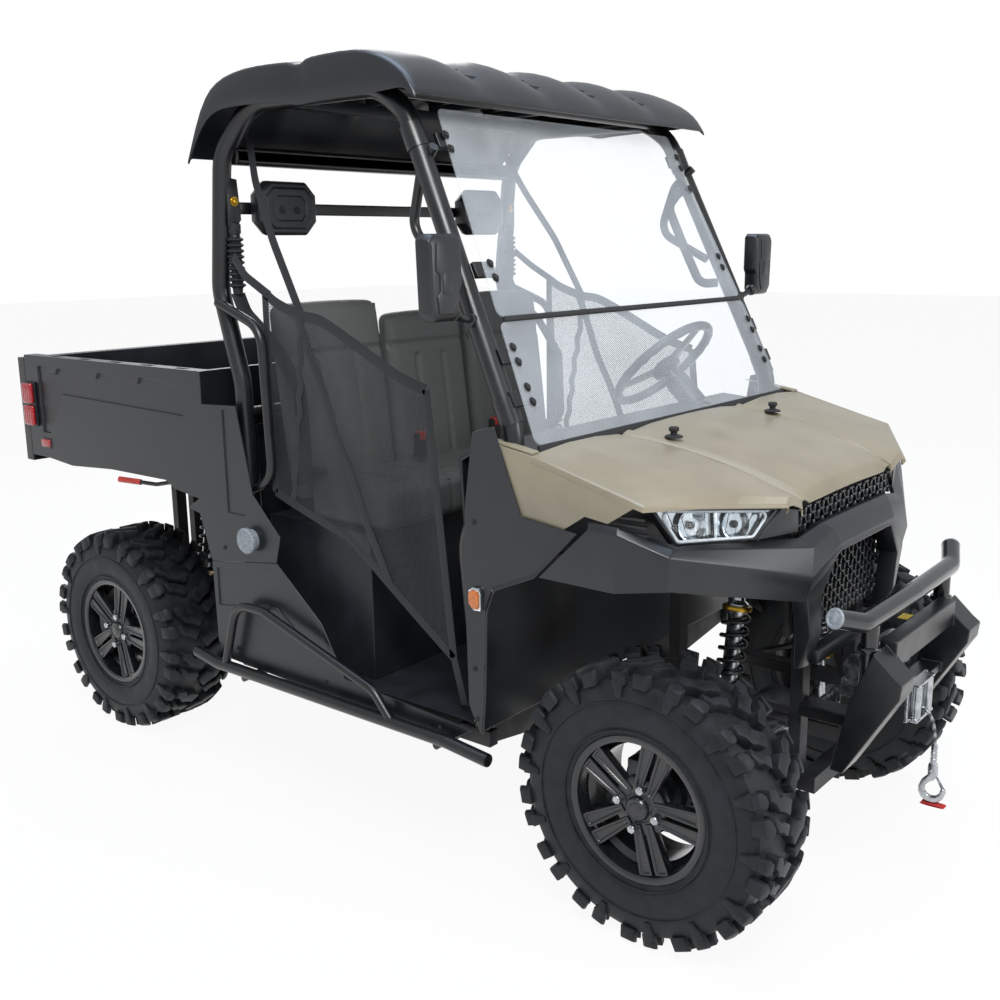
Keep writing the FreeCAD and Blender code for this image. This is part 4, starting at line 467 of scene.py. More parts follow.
# Each row: the slot, the colour, the shader's constant values, then the patches (light and dark
# colour, size in mm, roughness and its drift) and the grain (size in mm, strength, height in metres).
FINISHES = {
    # Matte moulded plastic: a fine leathery grain and a soft bluish sheen where light grazes it.
    # The real grain is under a millimetre; it is drawn at 1.6 mm so that it shows.
    "moulded_polypropylene": (
        "black_plastic", "#1b1e22", dict(Specular_IOR_Level=0.42, Sheen_Weight=0.03, Sheen_Roughness=0.5),
        ("#202429", "#16191c", 90, 0.44, 0.05), (1.6, 0.22, 0.0002, PEBBLES),
    ),
    # The same plastic from a polished tool: darker, with a clearer highlight.
    "smooth_polypropylene": (
        "black_plastic", "#17191c", dict(Coat_Weight=0.15, Coat_Roughness=0.3),
        ("#1c1f23", "#141619", 120, 0.34, 0.04), (3.0, 0.06, 0.0003),
    ),
    # Colour-moulded body panel: satin khaki, a slow ripple in the highlight and faint dust.
    "satin_khaki_panel": (
        "khaki_panel", "#8f8571", dict(Coat_Weight=0.12, Coat_Roughness=0.35),
        ("#948a74", "#887e69", 140, 0.36, 0.06), (45.0, 0.12, 0.0006),
    ),
    # Powder coat over steel tube: deep black with a fine orange peel and a broad highlight.
    "powder_coat_black": (
        "black_tube", "#0e0f12", dict(Coat_Weight=0.25, Coat_Roughness=0.25),
        ("#131518", "#0b0c0e", 70, 0.36, 0.06), (2.2, 0.18, 0.0003),
    ),
    # Wet-look enamel on the bull bar: near black with a sharp reflection of the floor.
    "gloss_black_enamel": (
        "gloss_tube", "#101113", dict(Coat_Weight=0.6, Coat_Roughness=0.06),
        ("#15171a", "#0d0e10", 100, 0.2, 0.04), (14.0, 0.05, 0.0004),
    ),
    # Dipped chassis enamel: dull black, a little uneven, dust lying in it.
    "frame_enamel": (
        "chassis_steel", "#17181a", {},
        ("#232427", "#121315", 60, 0.5, 0.1), (5.0, 0.12, 0.0004),
    ),
    # Tyre compound: charcoal rubber, bloomed grey in patches, with a soft leathery bump.
    "tread_rubber": (
        "tyre_rubber", "#15171a", dict(Specular_IOR_Level=0.3, Sheen_Weight=0.05),
        ("#212428", "#101214", 34, 0.54, 0.12, 6.0, 0.36, 0.66), (4.0, 0.25, 0.0004),
    ),
    # Cast wheel in gloss black lacquer: smooth faces with a hint of casting ripple beneath.
    "painted_alloy_black": (
        "wheel_alloy", "#121316", dict(Coat_Weight=0.5, Coat_Roughness=0.12),
        ("#1a1c20", "#0f1012", 50, 0.28, 0.06), (9.0, 0.1, 0.0004),
    ),
    # Sand-cast housings: grey metal with a grainy skin and darker oily patches.
    "cast_aluminium": (
        "cast_metal", "#6f7377", dict(Metallic=0.85),
        ("#85898d", "#4d5053", 45, 0.5, 0.1), (2.4, 0.3, 0.0004),
    ),
    # Bright plated steel: pale metal, faintly streaked where it has been handled.
    "zinc_plated_steel": (
        "zinc_steel", "#b9bdc1", dict(Metallic=1.0),
        ("#cdd0d3", "#a2a6ab", 18, 0.27, 0.07), (3.0, 0.08, 0.0002),
    ),
    # Ground brake disc: mid grey metal, finely scratched, with darker patches.
    "brushed_disc_steel": (
        "zinc_steel", "#8d9195", dict(Metallic=1.0),
        ("#a5a9ad", "#6f7377", 22, 0.36, 0.06), (1.5, 0.15, 0.0002),
    ),
    # Coil spring enamel: glossy black with a clean highlight along each coil.
    "spring_enamel": (
        "shock_paint", "#141518", dict(Coat_Weight=0.4, Coat_Roughness=0.15),
        ("#1c1e22", "#101114", 30, 0.3, 0.05), (6.0, 0.06, 0.0003),
    ),
    # Anodised shock collars: saturated gold metal.
    "gold_anodised": (
        "shock_paint", "#c39a2e", dict(Metallic=0.9),
        ("#d2aa3c", "#a98222", 14, 0.32, 0.06), (2.0, 0.1, 0.0002),
    ),
    # Metallised reflector: mirror bright, with a soft ripple that breaks the reflection.
    "lamp_reflector": (
        "lamp_clear", "#dfe4e8", dict(Metallic=1.0),
        ("#eef1f4", "#c5ccd3", 26, 0.16, 0.05), (12.0, 0.25, 0.0008),
    ),
    # Frosted light bar round the lamp: milky white plastic.
    "light_guide": (
        "lamp_clear", "#e8edf2", dict(Coat_Weight=0.5, Coat_Roughness=0.1),
        ("#f4f7fa", "#dfe6ee", 18, 0.22, 0.04), (3.0, 0.06, 0.0002),
    ),
    # Extruded rubber: flat black, slightly dusty.
    "seal_rubber": (
        "seal_rubber", "#151617", {},
        ("#1e2022", "#121314", 25, 0.62, 0.08), (2.5, 0.15, 0.0003),
    ),
    # Embossed vinyl over foam: grey green, pebbled at about 2 mm, with a soft sheen on the crowns.
    "seat_vinyl": (
        "seat_vinyl", "#2a2f31", dict(Sheen_Weight=0.12, Sheen_Roughness=0.4),
        ("#333a3c", "#23282a", 55, 0.46, 0.07), (2.2, 0.35, 0.0003, PEBBLES),
    ),
    # Belt buckle button: glossy red ABS.
    "buckle_red": (
        "red_webbing", "#b32a22", dict(Coat_Weight=0.4, Coat_Roughness=0.1),
        ("#c0332a", "#9d211b", 12, 0.3, 0.04), (2.0, 0.05, 0.0002),
    ),
    # Filled nylon caps: light grey, slightly speckled by its glass fibre.
    "grey_polyamide": (
        "grey_plastic", "#8b9094", {},
        ("#9ba0a4", "#7c8185", 8, 0.45, 0.06), (1.6, 0.15, 0.0002),
    ),
    # Blank label: satin yellow film, a little darker in patches.
    "yellow_label": (
        "grey_plastic", "#d9b51c", {},
        ("#e2c02c", "#c39f14", 10, 0.45, 0.05), (4.0, 0.08, 0.0002),
    ),
}


def clear_polycarbonate():
    # Hard-coated screen: a pale grey veil over what lies behind, and a sharp highlight.
    material, tree, shader = surface("clear_polycarbonate", "#e9eef1", Alpha=0.2, Specular_IOR_Level=0.6)
    where = add_node(tree, "ShaderNodeTexCoord").outputs["Object"]
    haze = add_node(tree, "ShaderNodeTexNoise", {"Vector": where, "Scale": per_mm(160), "Detail": 3.0})
    vary(tree, shader, "Roughness", haze.outputs["Fac"], 0.3, 0.7, 0.02, 0.07)
    vary(tree, shader, "Alpha", haze.outputs["Fac"], 0.3, 0.7, 0.16, 0.24)
    return material


def lamp_lens():
    # Lamp cover: clear hard plastic over the bright chambers.
    material, tree, shader = surface("lamp_lens", "#f4f8fa", Transmission_Weight=1.0, IOR=1.3)
    where = add_node(tree, "ShaderNodeTexCoord").outputs["Object"]
    haze = add_node(tree, "ShaderNodeTexNoise", {"Vector": where, "Scale": per_mm(60), "Detail": 2.0})
    vary(tree, shader, "Roughness", haze.outputs["Fac"], 0.3, 0.7, 0.01, 0.04)
    return material


def prismed_acrylic(name, colour, gloss, cell, near, far, smooth_rough, dull_rough):
    """Coloured lamp acrylic, glossy outside, with square prisms inside that break its colour up."""
    material, tree, shader = surface(name, colour, Coat_Weight=0.8, Coat_Roughness=gloss)
    where = add_node(tree, "ShaderNodeTexCoord").outputs["Object"]
    prism = add_node(tree, PEBBLES, {"Vector": where, "Scale": per_mm(cell)}, distance="CHEBYCHEV")
    depth = prism.outputs["Distance"]
    shade = add_node(tree, "ShaderNodeMix", {0: depth, 6: linear(near), 7: linear(far)}, data_type="RGBA")
    tree.links.new(shade.outputs[2], shader.inputs["Base Color"])
    vary(tree, shader, "Roughness", depth, 0.0, 1.0, smooth_rough, dull_rough)
    return material


def red_lens():
    # Tail lamp acrylic: deep red, prismed inside at 7 mm.
    return prismed_acrylic("red_lens", "#a3191c", 0.05, 7, "#c8242a", "#6d0d12", 0.12, 0.24)


def amber_lens():
    # Marker lamp acrylic: orange with small prisms of 5 mm.
    return prismed_acrylic("amber_lens", "#c4641a", 0.06, 5, "#dd7a22", "#8e3f0c", 0.14, 0.26)


def net_fabric():
    # Knitted safety net: black yarn with open cells. Real cells are 3 mm; they are drawn at 5 mm.
    material, tree, shader = surface("net_fabric", "#131416", Sheen_Weight=0.15)
    where = add_node(tree, "ShaderNodeTexCoord").outputs["Object"]
    slant = {"Vector": where, "Rotation": (math.radians(45), 0, 0)}
    slanted = add_node(tree, "ShaderNodeMapping", slant).outputs["Vector"]
    axes = add_node(tree, "ShaderNodeSeparateXYZ", {"Vector": slanted})
    yarn_share = 0.36
    walls = []
    for axis in ("Y", "Z"):
        cells = add_node(tree, "ShaderNodeMath", {0: axes.outputs[axis], 1: per_mm(5)}, operation="MULTIPLY")
        part = add_node(tree, "ShaderNodeMath", {0: cells.outputs[0]}, operation="FRACT")
        wall = add_node(tree, "ShaderNodeMath", {0: part.outputs[0], 1: yarn_share}, operation="LESS_THAN")
        walls.append(wall.outputs[0])
    yarn = add_node(tree, "ShaderNodeMath", {0: walls[0], 1: walls[1]}, operation="MAXIMUM")
    tree.links.new(yarn.outputs[0], shader.inputs["Alpha"])
    fuzz = add_node(tree, "ShaderNodeTexNoise", {"Vector": where, "Scale": per_mm(30), "Detail": 4.0})
    mixed = {0: fuzz.outputs["Fac"], 6: linear("#0f1011"), 7: linear("#222427")}
    shade = add_node(tree, "ShaderNodeMix", mixed, data_type="RGBA")
    tree.links.new(shade.outputs[2], shader.inputs["Base Color"])
    vary(tree, shader, "Roughness", fuzz.outputs["Fac"], 0.3, 0.7, 0.6, 0.75)
    return material


def diagonal_ribs(tree, spacing, wobble):
    """The value of ribs that cross a band aslant, a spacing in millimetres apart."""
    where = add_node(tree, "ShaderNodeTexCoord").outputs["Object"]
    links = {"Vector": where, "Scale": per_mm(spacing) / 6.28, "Distortion": wobble}
    return add_node(tree, "ShaderNodeTexWave", links, bands_direction="DIAGONAL").outputs["Fac"]


def webbing(name, light, dark):
    """Woven polyester strap: a twill of 2.4 mm ribs that catches light across the weave, its colour painted
    lighter on the ribs and darker in the hollows between them: painted highlight and painted shade.
    """
    material, tree, shader = surface(name, light, Sheen_Weight=0.25, Sheen_Roughness=0.35)
    ribs = diagonal_ribs(tree, 2.4, 0.6)
    share = add_node(tree, "ShaderNodeMapRange", {"Value": ribs, "From Min": 0.1, "From Max": 0.9})
    # Painted highlight on the ribs and painted shade in the hollows between them.
    mixed = {0: share.outputs["Result"], 6: linear(dark), 7: linear(light)}
    shade = add_node(tree, "ShaderNodeMix", mixed, data_type="RGBA")
    tree.links.new(shade.outputs[2], shader.inputs["Base Color"])
    vary(tree, shader, "Roughness", ribs, 0, 1, 0.75, 0.6)
    relief(tree, shader, ribs, 0.5, 0.0004)
    return material


def black_webbing():
    # Seat belt webbing: black polyester twill.
    return webbing("black_webbing", "#26282b", "#141517")


def red_webbing():
    # Pull strap on the hook: red polyester twill.
    return webbing("red_webbing", "#b3252b", "#7d1418")


def steel_rope_wire():
    # Galvanised wire rope: twisted strands of grey steel, with painted shade in the grooves between strands
    # and a painted highlight on their crowns.
    material, tree, shader = surface("steel_rope_wire", "#8a8d90", Metallic=0.9)
    lay = diagonal_ribs(tree, 6, 1.5)
    # The lay's value paints the grooves dark and the crowns light: painted shade and painted highlight.
    mixed = {0: lay, 6: linear("#4f5255"), 7: linear("#aeb2b5")}
    shade = add_node(tree, "ShaderNodeMix", mixed, data_type="RGBA")
    tree.links.new(shade.outputs[2], shader.inputs["Base Color"])
    vary(tree, shader, "Roughness", lay, 0, 1, 0.5, 0.3)
    relief(tree, shader, lay, 0.8, 0.0008)
    return material


# The finishes that need more than patches and a grain.
SPECIAL = {"clear_polycarbonate": ("clear_pane", clear_polycarbonate),
    "lamp_lens": ("lamp_clear", lamp_lens), "red_lens": ("lamp_red", red_lens),
    "amber_lens": ("lamp_amber", amber_lens), "net_fabric": ("mesh_fabric", net_fabric),
    "black_webbing": ("mesh_fabric", black_webbing), "red_webbing": ("red_webbing", red_webbing),
    "steel_rope_wire": ("zinc_steel", steel_rope_wire)}


def finish_named(name):
    """The material of a finish, made the first time it is asked for."""
    material = bpy.data.materials.get(name)
    if material is None and name in SPECIAL:
        material = SPECIAL[name][1]()
    elif material is None:
        _, colour, shine, patches, fine = FINISHES[name]
        material, tree, shader = surface(name, colour, **shine)
        grain(tree, shader, mottle(tree, shader, *patches), *fine)
    return material


# What a user would change


class VehicleSizes(bpy.types.PropertyGroup):
    """Sizes that the fine pieces are built from."""

    tread_depth: bpy.props.FloatProperty(name="Tread depth", description="How far the lugs stand up",
        default=0.024, min=0.005, unit="LENGTH")
    tread_pitches: bpy.props.IntProperty(name="Tread pitches",
        description="How often the lug pattern repeats round a tyre", default=14, min=8)
    coil_count: bpy.props.IntProperty(name="Spring coils", description="Turns of each shock's spring",
        default=8, min=3)


class VehicleColours(bpy.types.PropertyGroup):
    """Colours of the stage; the finishes name their own."""

    floor: bpy.props.FloatVectorProperty(name="Floor", description="Colour of the plain floor",
        subtype="COLOR", size=4, default=linear("#f2f3f4"))
    backdrop: bpy.props.FloatVectorProperty(name="Backdrop",
        description="Colour that the camera sees behind", subtype="COLOR", size=4,
        default=linear("#ffffff"))


def sizes():
    return bpy.context.scene.vehicle_sizes


def colours():
    return bpy.context.scene.vehicle_colours


# Stage

FLOOR_SIZE, FLOOR_DROP = 60, 0.0008
FLOOR_WHITE = 0.93  # How much of the plain backdrop the floor shows to the camera
SHINE_SHARE = 0.4  # How much of the backdrop glossy surfaces reflect
SKY_STRENGTH = 0.4
CAMERA_PLACE = (-2.48881, -2.13179, 1.48855)
CAMERA_TURNS = (0.88832163, -0.21957519, -0.0119037)  # Round the vertical, up, and round the view


class VEHICLE_OT_stage(bpy.types.Operator):
    """Lay the floor, hang the lamps and set the camera"""

    bl_idname = "vehicle.stage"
    bl_label = "Stage"

    def execute(self, context):
        scene = context.scene
        floor = settle(started("floor", "plane", size=FLOOR_SIZE, location=(0, 0, -FLOOR_DROP)))
        matt = bpy.data.materials.new("painted_floor")
        matt.use_nodes = True
        tree = matt.node_tree
        shader = next(n for n in tree.nodes if n.type == "BSDF_PRINCIPLED")
        shader.inputs["Base Color"].default_value = colours().floor[:]
        shader.inputs["Roughness"].default_value = 0.85
        out = next(n for n in tree.nodes if n.type == "OUTPUT_MATERIAL")
        path = add_node(tree, "ShaderNodeLightPath")
        white = add_node(tree, "ShaderNodeEmission", {"Color": colours().backdrop[:], "Strength": 1.0})
        seen = add_node(tree, "ShaderNodeMath", {0: path.outputs["Is Camera Ray"],
            1: path.outputs["Is Glossy Ray"]}, operation="MAXIMUM")
        part = add_node(tree, "ShaderNodeMath", {0: seen.outputs[0], 1: FLOOR_WHITE}, operation="MULTIPLY")
        mixed = add_node(tree, "ShaderNodeMixShader", {0: part.outputs[0], 1: shader.outputs[0],
            2: white.outputs[0]})
        tree.links.new(mixed.outputs[0], out.inputs["Surface"])
        floor.data.materials.append(matt)

        world = bpy.data.worlds.new("studio")
        scene.world = world
        world.use_nodes = True
        tree = world.node_tree
        tree.nodes.clear()
        path = add_node(tree, "ShaderNodeLightPath")
        soft = add_node(tree, "ShaderNodeBackground", {"Color": linear("#e2ebf7"), "Strength": SKY_STRENGTH})
        white = add_node(tree, "ShaderNodeBackground", {"Color": colours().backdrop[:], "Strength": 1.0})
        seen = add_node(tree, "ShaderNodeMath", {0: path.outputs["Is Camera Ray"],
            1: path.outputs["Is Transmission Ray"]}, operation="MAXIMUM")
        shine = add_node(tree, "ShaderNodeMath", {0: path.outputs["Is Glossy Ray"], 1: SHINE_SHARE,
            2: seen.outputs[0]}, operation="MULTIPLY_ADD")
        share = add_node(tree, "ShaderNodeClamp", {"Value": shine.outputs[0]})
        mixed = add_node(tree, "ShaderNodeMixShader", {0: share.outputs[0], 1: soft.outputs[0],
            2: white.outputs[0]})
        out = add_node(tree, "ShaderNodeOutputWorld")
        tree.links.new(mixed.outputs[0], out.inputs["Surface"])

        for name, place, target, side, power in (("key_lamp", (-3.0, -2.6, 4.6), (0, -0.2, 0.8), 1.8, 190),
            ("front_lamp", (0.8, -5.0, 2.4), (0, -0.6, 0.8), 2.0, 70),
            ("back_lamp", (2.6, 3.6, 3.6), (0, 0.3, 1.0), 2.4, 60),
            ("sky_lamp", (0.0, 0.0, 6.0), (0, 0, 0), 4.0, 200)):
            lamp = bpy.data.lights.new(name, "AREA")
            lamp.size = side
            lamp.energy = power
            if name == "sky_lamp":
                lamp.color = linear("#cddffc")[:3]
            holder = bpy.data.objects.new(name, lamp)
            context.collection.objects.link(holder)
            holder.location = place
            holder.rotation_euler = (Vector(target) - Vector(place)).to_track_quat("-Z", "Y").to_euler()

        scene.view_settings.view_transform = "Standard"
        camera = bpy.data.cameras.new("camera")
        camera.sensor_width = 36.0
        camera.lens = 41.13
        camera.clip_end = 200
        eye = bpy.data.objects.new("camera", camera)
        context.collection.objects.link(eye)
        turn, tip, tilt = CAMERA_TURNS
        ahead = Vector((math.sin(turn) * math.cos(tip), math.cos(turn) * math.cos(tip), math.sin(tip)))
        level = Vector((math.cos(turn), -math.sin(turn), 0))
        upright = level.cross(ahead)
        right = level * math.cos(tilt) + upright * math.sin(tilt)
        up = upright * math.cos(tilt) - level * math.sin(tilt)
        frame_axes = Matrix((right, up, -ahead)).transposed().to_4x4()
        eye.matrix_world = Matrix.Translation(CAMERA_PLACE) @ frame_axes
        scene.camera = eye
        return {"FINISHED"}


# Winch rope with its hook


ROPE = [(0.0, -1.3277, 0.452), (0.0, -1.3382, 0.452), (0.0, -1.3484, 0.4479), (0.0, -1.3577, 0.4388),
    (0.0, -1.3655, 0.4237), (0.0, -1.3718, 0.3964), (0.0, -1.3732, 0.3685)]


class VEHICLE_OT_winch_rope(bpy.types.Operator):
    """Lay the winch rope and its hook, strap and collar"""

    bl_idname = "vehicle.winch_rope"
    bl_label = "Winch rope and hook"

    def execute(self, context):
        rope = wire("winch_line", ROPE, 0.004, 5, "NURBS")
        spline = rope.data.splines[0]
        spline.order_u = 3
        spline.use_endpoint_u = True
        spline.resolution_u = 12
        rope.data.materials.append(finish_named("steel_rope_wire"))
        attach(rope, "chassis")
        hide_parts("winch_rope")

        end = Vector(ROPE[-1])
        collar = turned("winch_ferrule", [(0, 0), (0, 0.006), (-0.002, 0.0072), (-0.012, 0.0072),
            (-0.013, 0.0062), (-0.016, 0.0062), (-0.017, 0.0072), (-0.028, 0.0072), (-0.029, 0.0062),
            (-0.032, 0.0062), (-0.033, 0.0072), (-0.045, 0.0072), (-0.0465, 0.006), (-0.0465, 0)], end,
            "Z", 32)
        put(collar, "zinc_plated_steel")
        low = end + Vector((0, 0, -0.0443))
        bowl = [(-0.009, 0), (0.009, 0), (0.011, -0.012), (0.01, -0.03), (0.022, -0.044),
            (0.029, -0.06), (0.029, -0.074), (0.022, -0.088), (0.01, -0.0955), (-0.003, -0.0968),
            (-0.016, -0.0925), (-0.027, -0.081), (-0.032, -0.066), (-0.031, -0.058), (-0.0235, -0.0545),
            (-0.0205, -0.06), (-0.0175, -0.071), (-0.01, -0.0785), (0.0, -0.081), (0.01, -0.0775),
            (0.0155, -0.069), (0.0145, -0.058), (0.006, -0.047), (-0.005, -0.04), (-0.011, -0.03),
            (-0.011, -0.012)]
        hook = plate("winch_snap_hook", [low + Vector((-0.0058, y, z)) for y, z in bowl], (0.0116, 0, 0),
            0.003, 3)
        blade = ((-0.012, -0.034), (-0.008, -0.031), (-0.0235, -0.06), (-0.0275, -0.057))
        latch = plate("winch_hook_latch", [low + Vector((-0.004, y, z)) for y, z in blade], (0.008, 0, 0),
            0.0008, 2)
        pin = turned("winch_hook_pin", [(-0.0085, 0), (-0.0085, 0.004), (-0.0075, 0.0048), (0.0075, 0.0048),
            (0.0085, 0.004), (0.0085, 0)], low + Vector((0, 0.0005, -0.018)), "X", 20)
        body = put(join("winch_snap_hook", [hook, pin]), "zinc_plated_steel", "winch_hook")
        put(latch, "brushed_disc_steel")

        # The pull strap: a loop of webbing through the hook's eye, its two tails sewn together.
        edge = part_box("hook_strap")
        top = edge[1].z
        rows = []
        for y, z in ((edge[0].y + 0.006, top - 0.0012), (-1.398, top - 0.0006), (-1.385, top - 0.0003),
            (-1.372, top - 0.0003), (-1.36, top - 0.001), (edge[1].y - 0.001, top - 0.0022),
            (edge[1].y - 0.0004, top - 0.004), (-1.36, top - 0.0052), (-1.38, top - 0.005),
            (-1.398, top - 0.004), (edge[0].y + 0.007, top - 0.0034)):
            rows.append([Vector((x, y, z)) for x in (-0.0105, -0.0035, 0.0035, 0.0105)])
        strap = panel("hook_pull_strap", rows, 0.0009, fold=0, rim=0, outward=(0, 0, 1), levels=2, angle=60)
        put(strap, "red_webbing", "hook_strap")
        return {"FINISHED"}


# Wheels


def tyre_profile(half, outer, tread):
    """Points of a tyre's section, from bead to bead round the outside and back along the inside."""
    bead = 0.1535
    crown = outer - tread
    side = [(half * 0.62, bead), (half * 0.8, bead + 0.002), (half * 0.9, bead + 0.014),
        (half * 0.955, bead + 0.034), (half * 0.985, bead + 0.062), (half * 0.975, bead + 0.088),
        (half * 0.93, crown - 0.022), (half * 0.84, crown - 0.008), (half * 0.62, crown - 0.001),
        (half * 0.3, crown + 0.001)]
    outside = side + [(-x, r) for x, r in side[::-1]]
    inside = [(-half * 0.6, bead + 0.008), (-half * 0.84, bead + 0.03), (-half * 0.9, bead + 0.07),
        (-half * 0.8, crown - 0.018), (half * 0.8, crown - 0.018), (half * 0.9, bead + 0.07),
        (half * 0.84, bead + 0.03), (half * 0.6, bead + 0.008)]
    return outside + inside


def lug(name, foot, lean, outer, tread, taper=0.0022):
    """One tread block: its foot outline in (x, along) metres, wrapped on the tyre's crown."""
    count = len(foot)
    piece = started(name, "circle", vertices=count, radius=1, fill_type="NGON")
    for vertex, (x, along) in zip(piece.data.vertices, foot):
        vertex.co = (x, along, 0)
    middle_x = sum(x for x, along in foot) / count
    middle_y = sum(along for x, along in foot) / count
    edit(piece)
    bpy.ops.mesh.extrude_region_move(TRANSFORM_OT_translate={"value": (0, 0, 1)})
    leave()
    clean(piece)
    for vertex in piece.data.vertices:
        x, along, top = vertex.co
        if top > 0.5:
            x += (middle_x - x) * taper / max(0.02, abs(middle_x - x) + 0.001)
            along += (middle_y - along) * taper / max(0.02, abs(middle_y - along) + 0.001)
        edge = max(0.0, abs(x) - lean) / 0.03
        radius = outer if top > 0.5 else outer - tread - 0.006
        radius -= 0.01 * min(edge, 2.2) ** 1.6
        turn = along / outer
        vertex.co = (x, radius * math.sin(turn), radius * math.cos(turn))
    eased(piece, 0.0022, 2, 0.5)
    return smooth(piece, 35)


def build_tyre(name, width, centre_y, side):
    """A carcass with moulded rings and rows of angled lugs with hooked shoulders."""
    outer = 0.3172
    half = width / 2
    tread = sizes().tread_depth
    pitches = sizes().tread_pitches
    carcass = turned(name, tyre_profile(half, outer, tread), ORIGIN, "X", 96, closed=True)
    pitch = math.tau * outer / pitches
    s = half / 0.1025
    long_bar = [(-0.01, -0.01), (0.02, -0.034), (0.034, -0.03), (0.046, -0.054), (0.068, -0.062),
        (0.073, -0.04), (0.058, -0.026), (0.048, -0.004), (0.03, 0.002), (0.006, 0.018)]
    short_bar = [(0.012, 0.034), (0.036, 0.016), (0.052, 0.014), (0.066, -0.006), (0.074, 0.01),
        (0.06, 0.034), (0.044, 0.038), (0.024, 0.056)]
    shoulder = [(0.078, -0.052), (0.09, -0.066), (0.1015, -0.064), (0.1015, -0.036), (0.098, -0.028),
        (0.084, -0.026), (0.078, -0.036)]
    hook = [(0.078, 0.002), (0.088, -0.01), (0.1015, -0.008), (0.1015, 0.03), (0.092, 0.036),
        (0.076, 0.03), (0.072, 0.018)]
    feet = [[(x * s, along) for x, along in foot] for foot in (long_bar, short_bar, shoulder, hook)]
    rows = []
    for foot in feet:
        rows.append((foot, 0))
        rows.append(([(-x, along) for x, along in foot], 0.5))
    parts = [carcass]
    for number, (foot, shift) in enumerate(rows):
        one = lug("%s_lug%d" % (name, number), foot, 0.07 * s, outer, tread)
        parts.append(ring_of(one, pitches, ORIGIN, "X", "%s_row%d" % (name, number), shift))
    # Side blocks that run from the shoulder down the wall, and the two moulded rings.
    for way in (1, -1):
        rib = cube((0.009, 0.03, 0.04), (way * half * 0.955, 0, outer - tread - 0.024))
        choose(rib, lambda normal: normal.z < -0.9)
        bpy.ops.transform.resize(value=(1, 0.45, 1))
        leave()
        eased(rib, 0.0018, 2)
        smooth(rib)
        parts.append(ring_of(rib, pitches, ORIGIN, "X", "%s_rib" % name, 0.35 if way > 0 else 0.85))
        for radius in (0.178, 0.2405):
            ring = [(way * half * 0.955, radius - 0.0022), (way * (half * 0.955 + 0.0034), radius - 0.0012),
                (way * (half * 0.955 + 0.0034), radius + 0.0012), (way * half * 0.955, radius + 0.0022)]
            if radius > 0.2:
                ring = [(x + way * half * 0.018, r) for x, r in ring]
            parts.append(turned("%s_ring" % name, ring, ORIGIN, "X", 96, closed=True))
    tyre = join(name, parts)
    tyre.data.transform(Matrix.Translation((side, centre_y, HUB_HEIGHT)))
    return tyre


def build_rim(name, width, outward):
    """A five twin-spoke wheel round the X axis: barrel, grooved spokes, hub and the webs at the rim."""
    half = width / 2
    face = outward * half
    w = outward

    def x(depth):
        return face - w * depth

    barrel = turned(name, [(x(0.0), 0.15), (x(-0.0035), 0.156), (x(-0.0035), 0.164),
        (x(0.0), 0.1685), (x(0.006), 0.1672), (x(0.008), 0.156), (x(0.014), 0.153), (x(0.034), 0.1515),
        (x(0.046), 0.138), (x(0.11), 0.136), (x(0.122), 0.151), (x(2 * half - 0.01), 0.153),
        (x(2 * half - 0.006), 0.16), (x(2 * half), 0.1672), (x(2 * half + 0.003), 0.164),
        (x(2 * half), 0.152), (x(2 * half - 0.03), 0.1475), (x(0.116), 0.146), (x(0.108), 0.132),
        (x(0.048), 0.133), (x(0.038), 0.1465), (x(0.01), 0.148)], ORIGIN, "X", 96, closed=True)
    parts = [barrel]
    # One spoke of a pair: a tapering bar with a groove sunk into its face.
    spoke = cube((0.022, 0.024, 0.112), (x(0.022), 0, 0.092))
    choose(spoke, lambda normal: normal.z > 0.9)
    bpy.ops.transform.resize(value=(1.0, 1.45, 1))
    bpy.ops.transform.translate(value=(w * 0.007, 0.01, 0))
    leave()
    choose(spoke, lambda normal: normal.z < -0.9)
    bpy.ops.transform.resize(value=(1.0, 0.8, 1))
    bpy.ops.transform.translate(value=(w * 0.002, 0.004, 0))
    leave()
    choose(spoke, lambda normal: normal.x * w > 0.8)
    bpy.ops.mesh.inset(thickness=0.0055, depth=0)
    bpy.ops.mesh.inset(thickness=0.0018, depth=-0.005)
    leave()
    eased(spoke, 0.0022, 2, 0.5)
    spoke.data.transform(Matrix.Translation((0, 0.011, 0)))
    smooth(spoke)
    twin = copied(spoke, name + "_twin", Matrix.Scale(-1, 4, Vector((0, 1, 0))))
    pair = join(name + "_pair", [spoke, twin])
    ring = ring_of(pair, 5, ORIGIN, "X", name + "_spokes", 0.25)
    parts.append(ring)
    parts.append(turned(name + "_hub", [(x(0.01), 0), (x(0.01), 0.03), (x(0.013), 0.034),
        (x(0.013), 0.06), (x(0.017), 0.066), (x(0.034), 0.068), (x(0.05), 0.06), (x(0.052), 0)],
        ORIGIN, "X", 48))
    # Webs that close the twin spokes at the rim.
    web = cube((0.012, 0.075, 0.018), (x(0.02), 0, 0.1405))
    eased(web, 0.004, 2)
    smooth(web)
    parts.append(ring_of(web, 5, ORIGIN, "X", name + "_webs", 0.25))
    return join(name, parts)


def wheel_fittings(name, width, outward):
    """The centre cap and the ring of nuts of a wheel."""
    face = outward * width / 2
    w = outward
    cap = turned(name + "_cap", [(face - w * 0.011, 0.0285), (face - w * 0.004, 0.027),
        (face - w * 0.0005, 0.0235), (face - w * 0.002, 0.0215), (face - w * 0.002, 0.016),
        (face + w * 0.0004, 0.013), (face + w * 0.0012, 0)], ORIGIN, "X", 40)
    nut = cylinder(6, 0.0105, 0.02, (face - w * 0.007, 0, 0.048), (0, math.pi / 2, 0))
    choose(nut, lambda normal: normal.x * w > 0.9)
    bpy.ops.mesh.inset(thickness=0.0028, depth=0.002)
    leave()
    eased(nut, 0.0012, 2, 0.5)
    smooth(nut)
    nuts = ring_of(nut, 4, ORIGIN, "X", name + "_nuts", 0.125)
    return cap, nuts


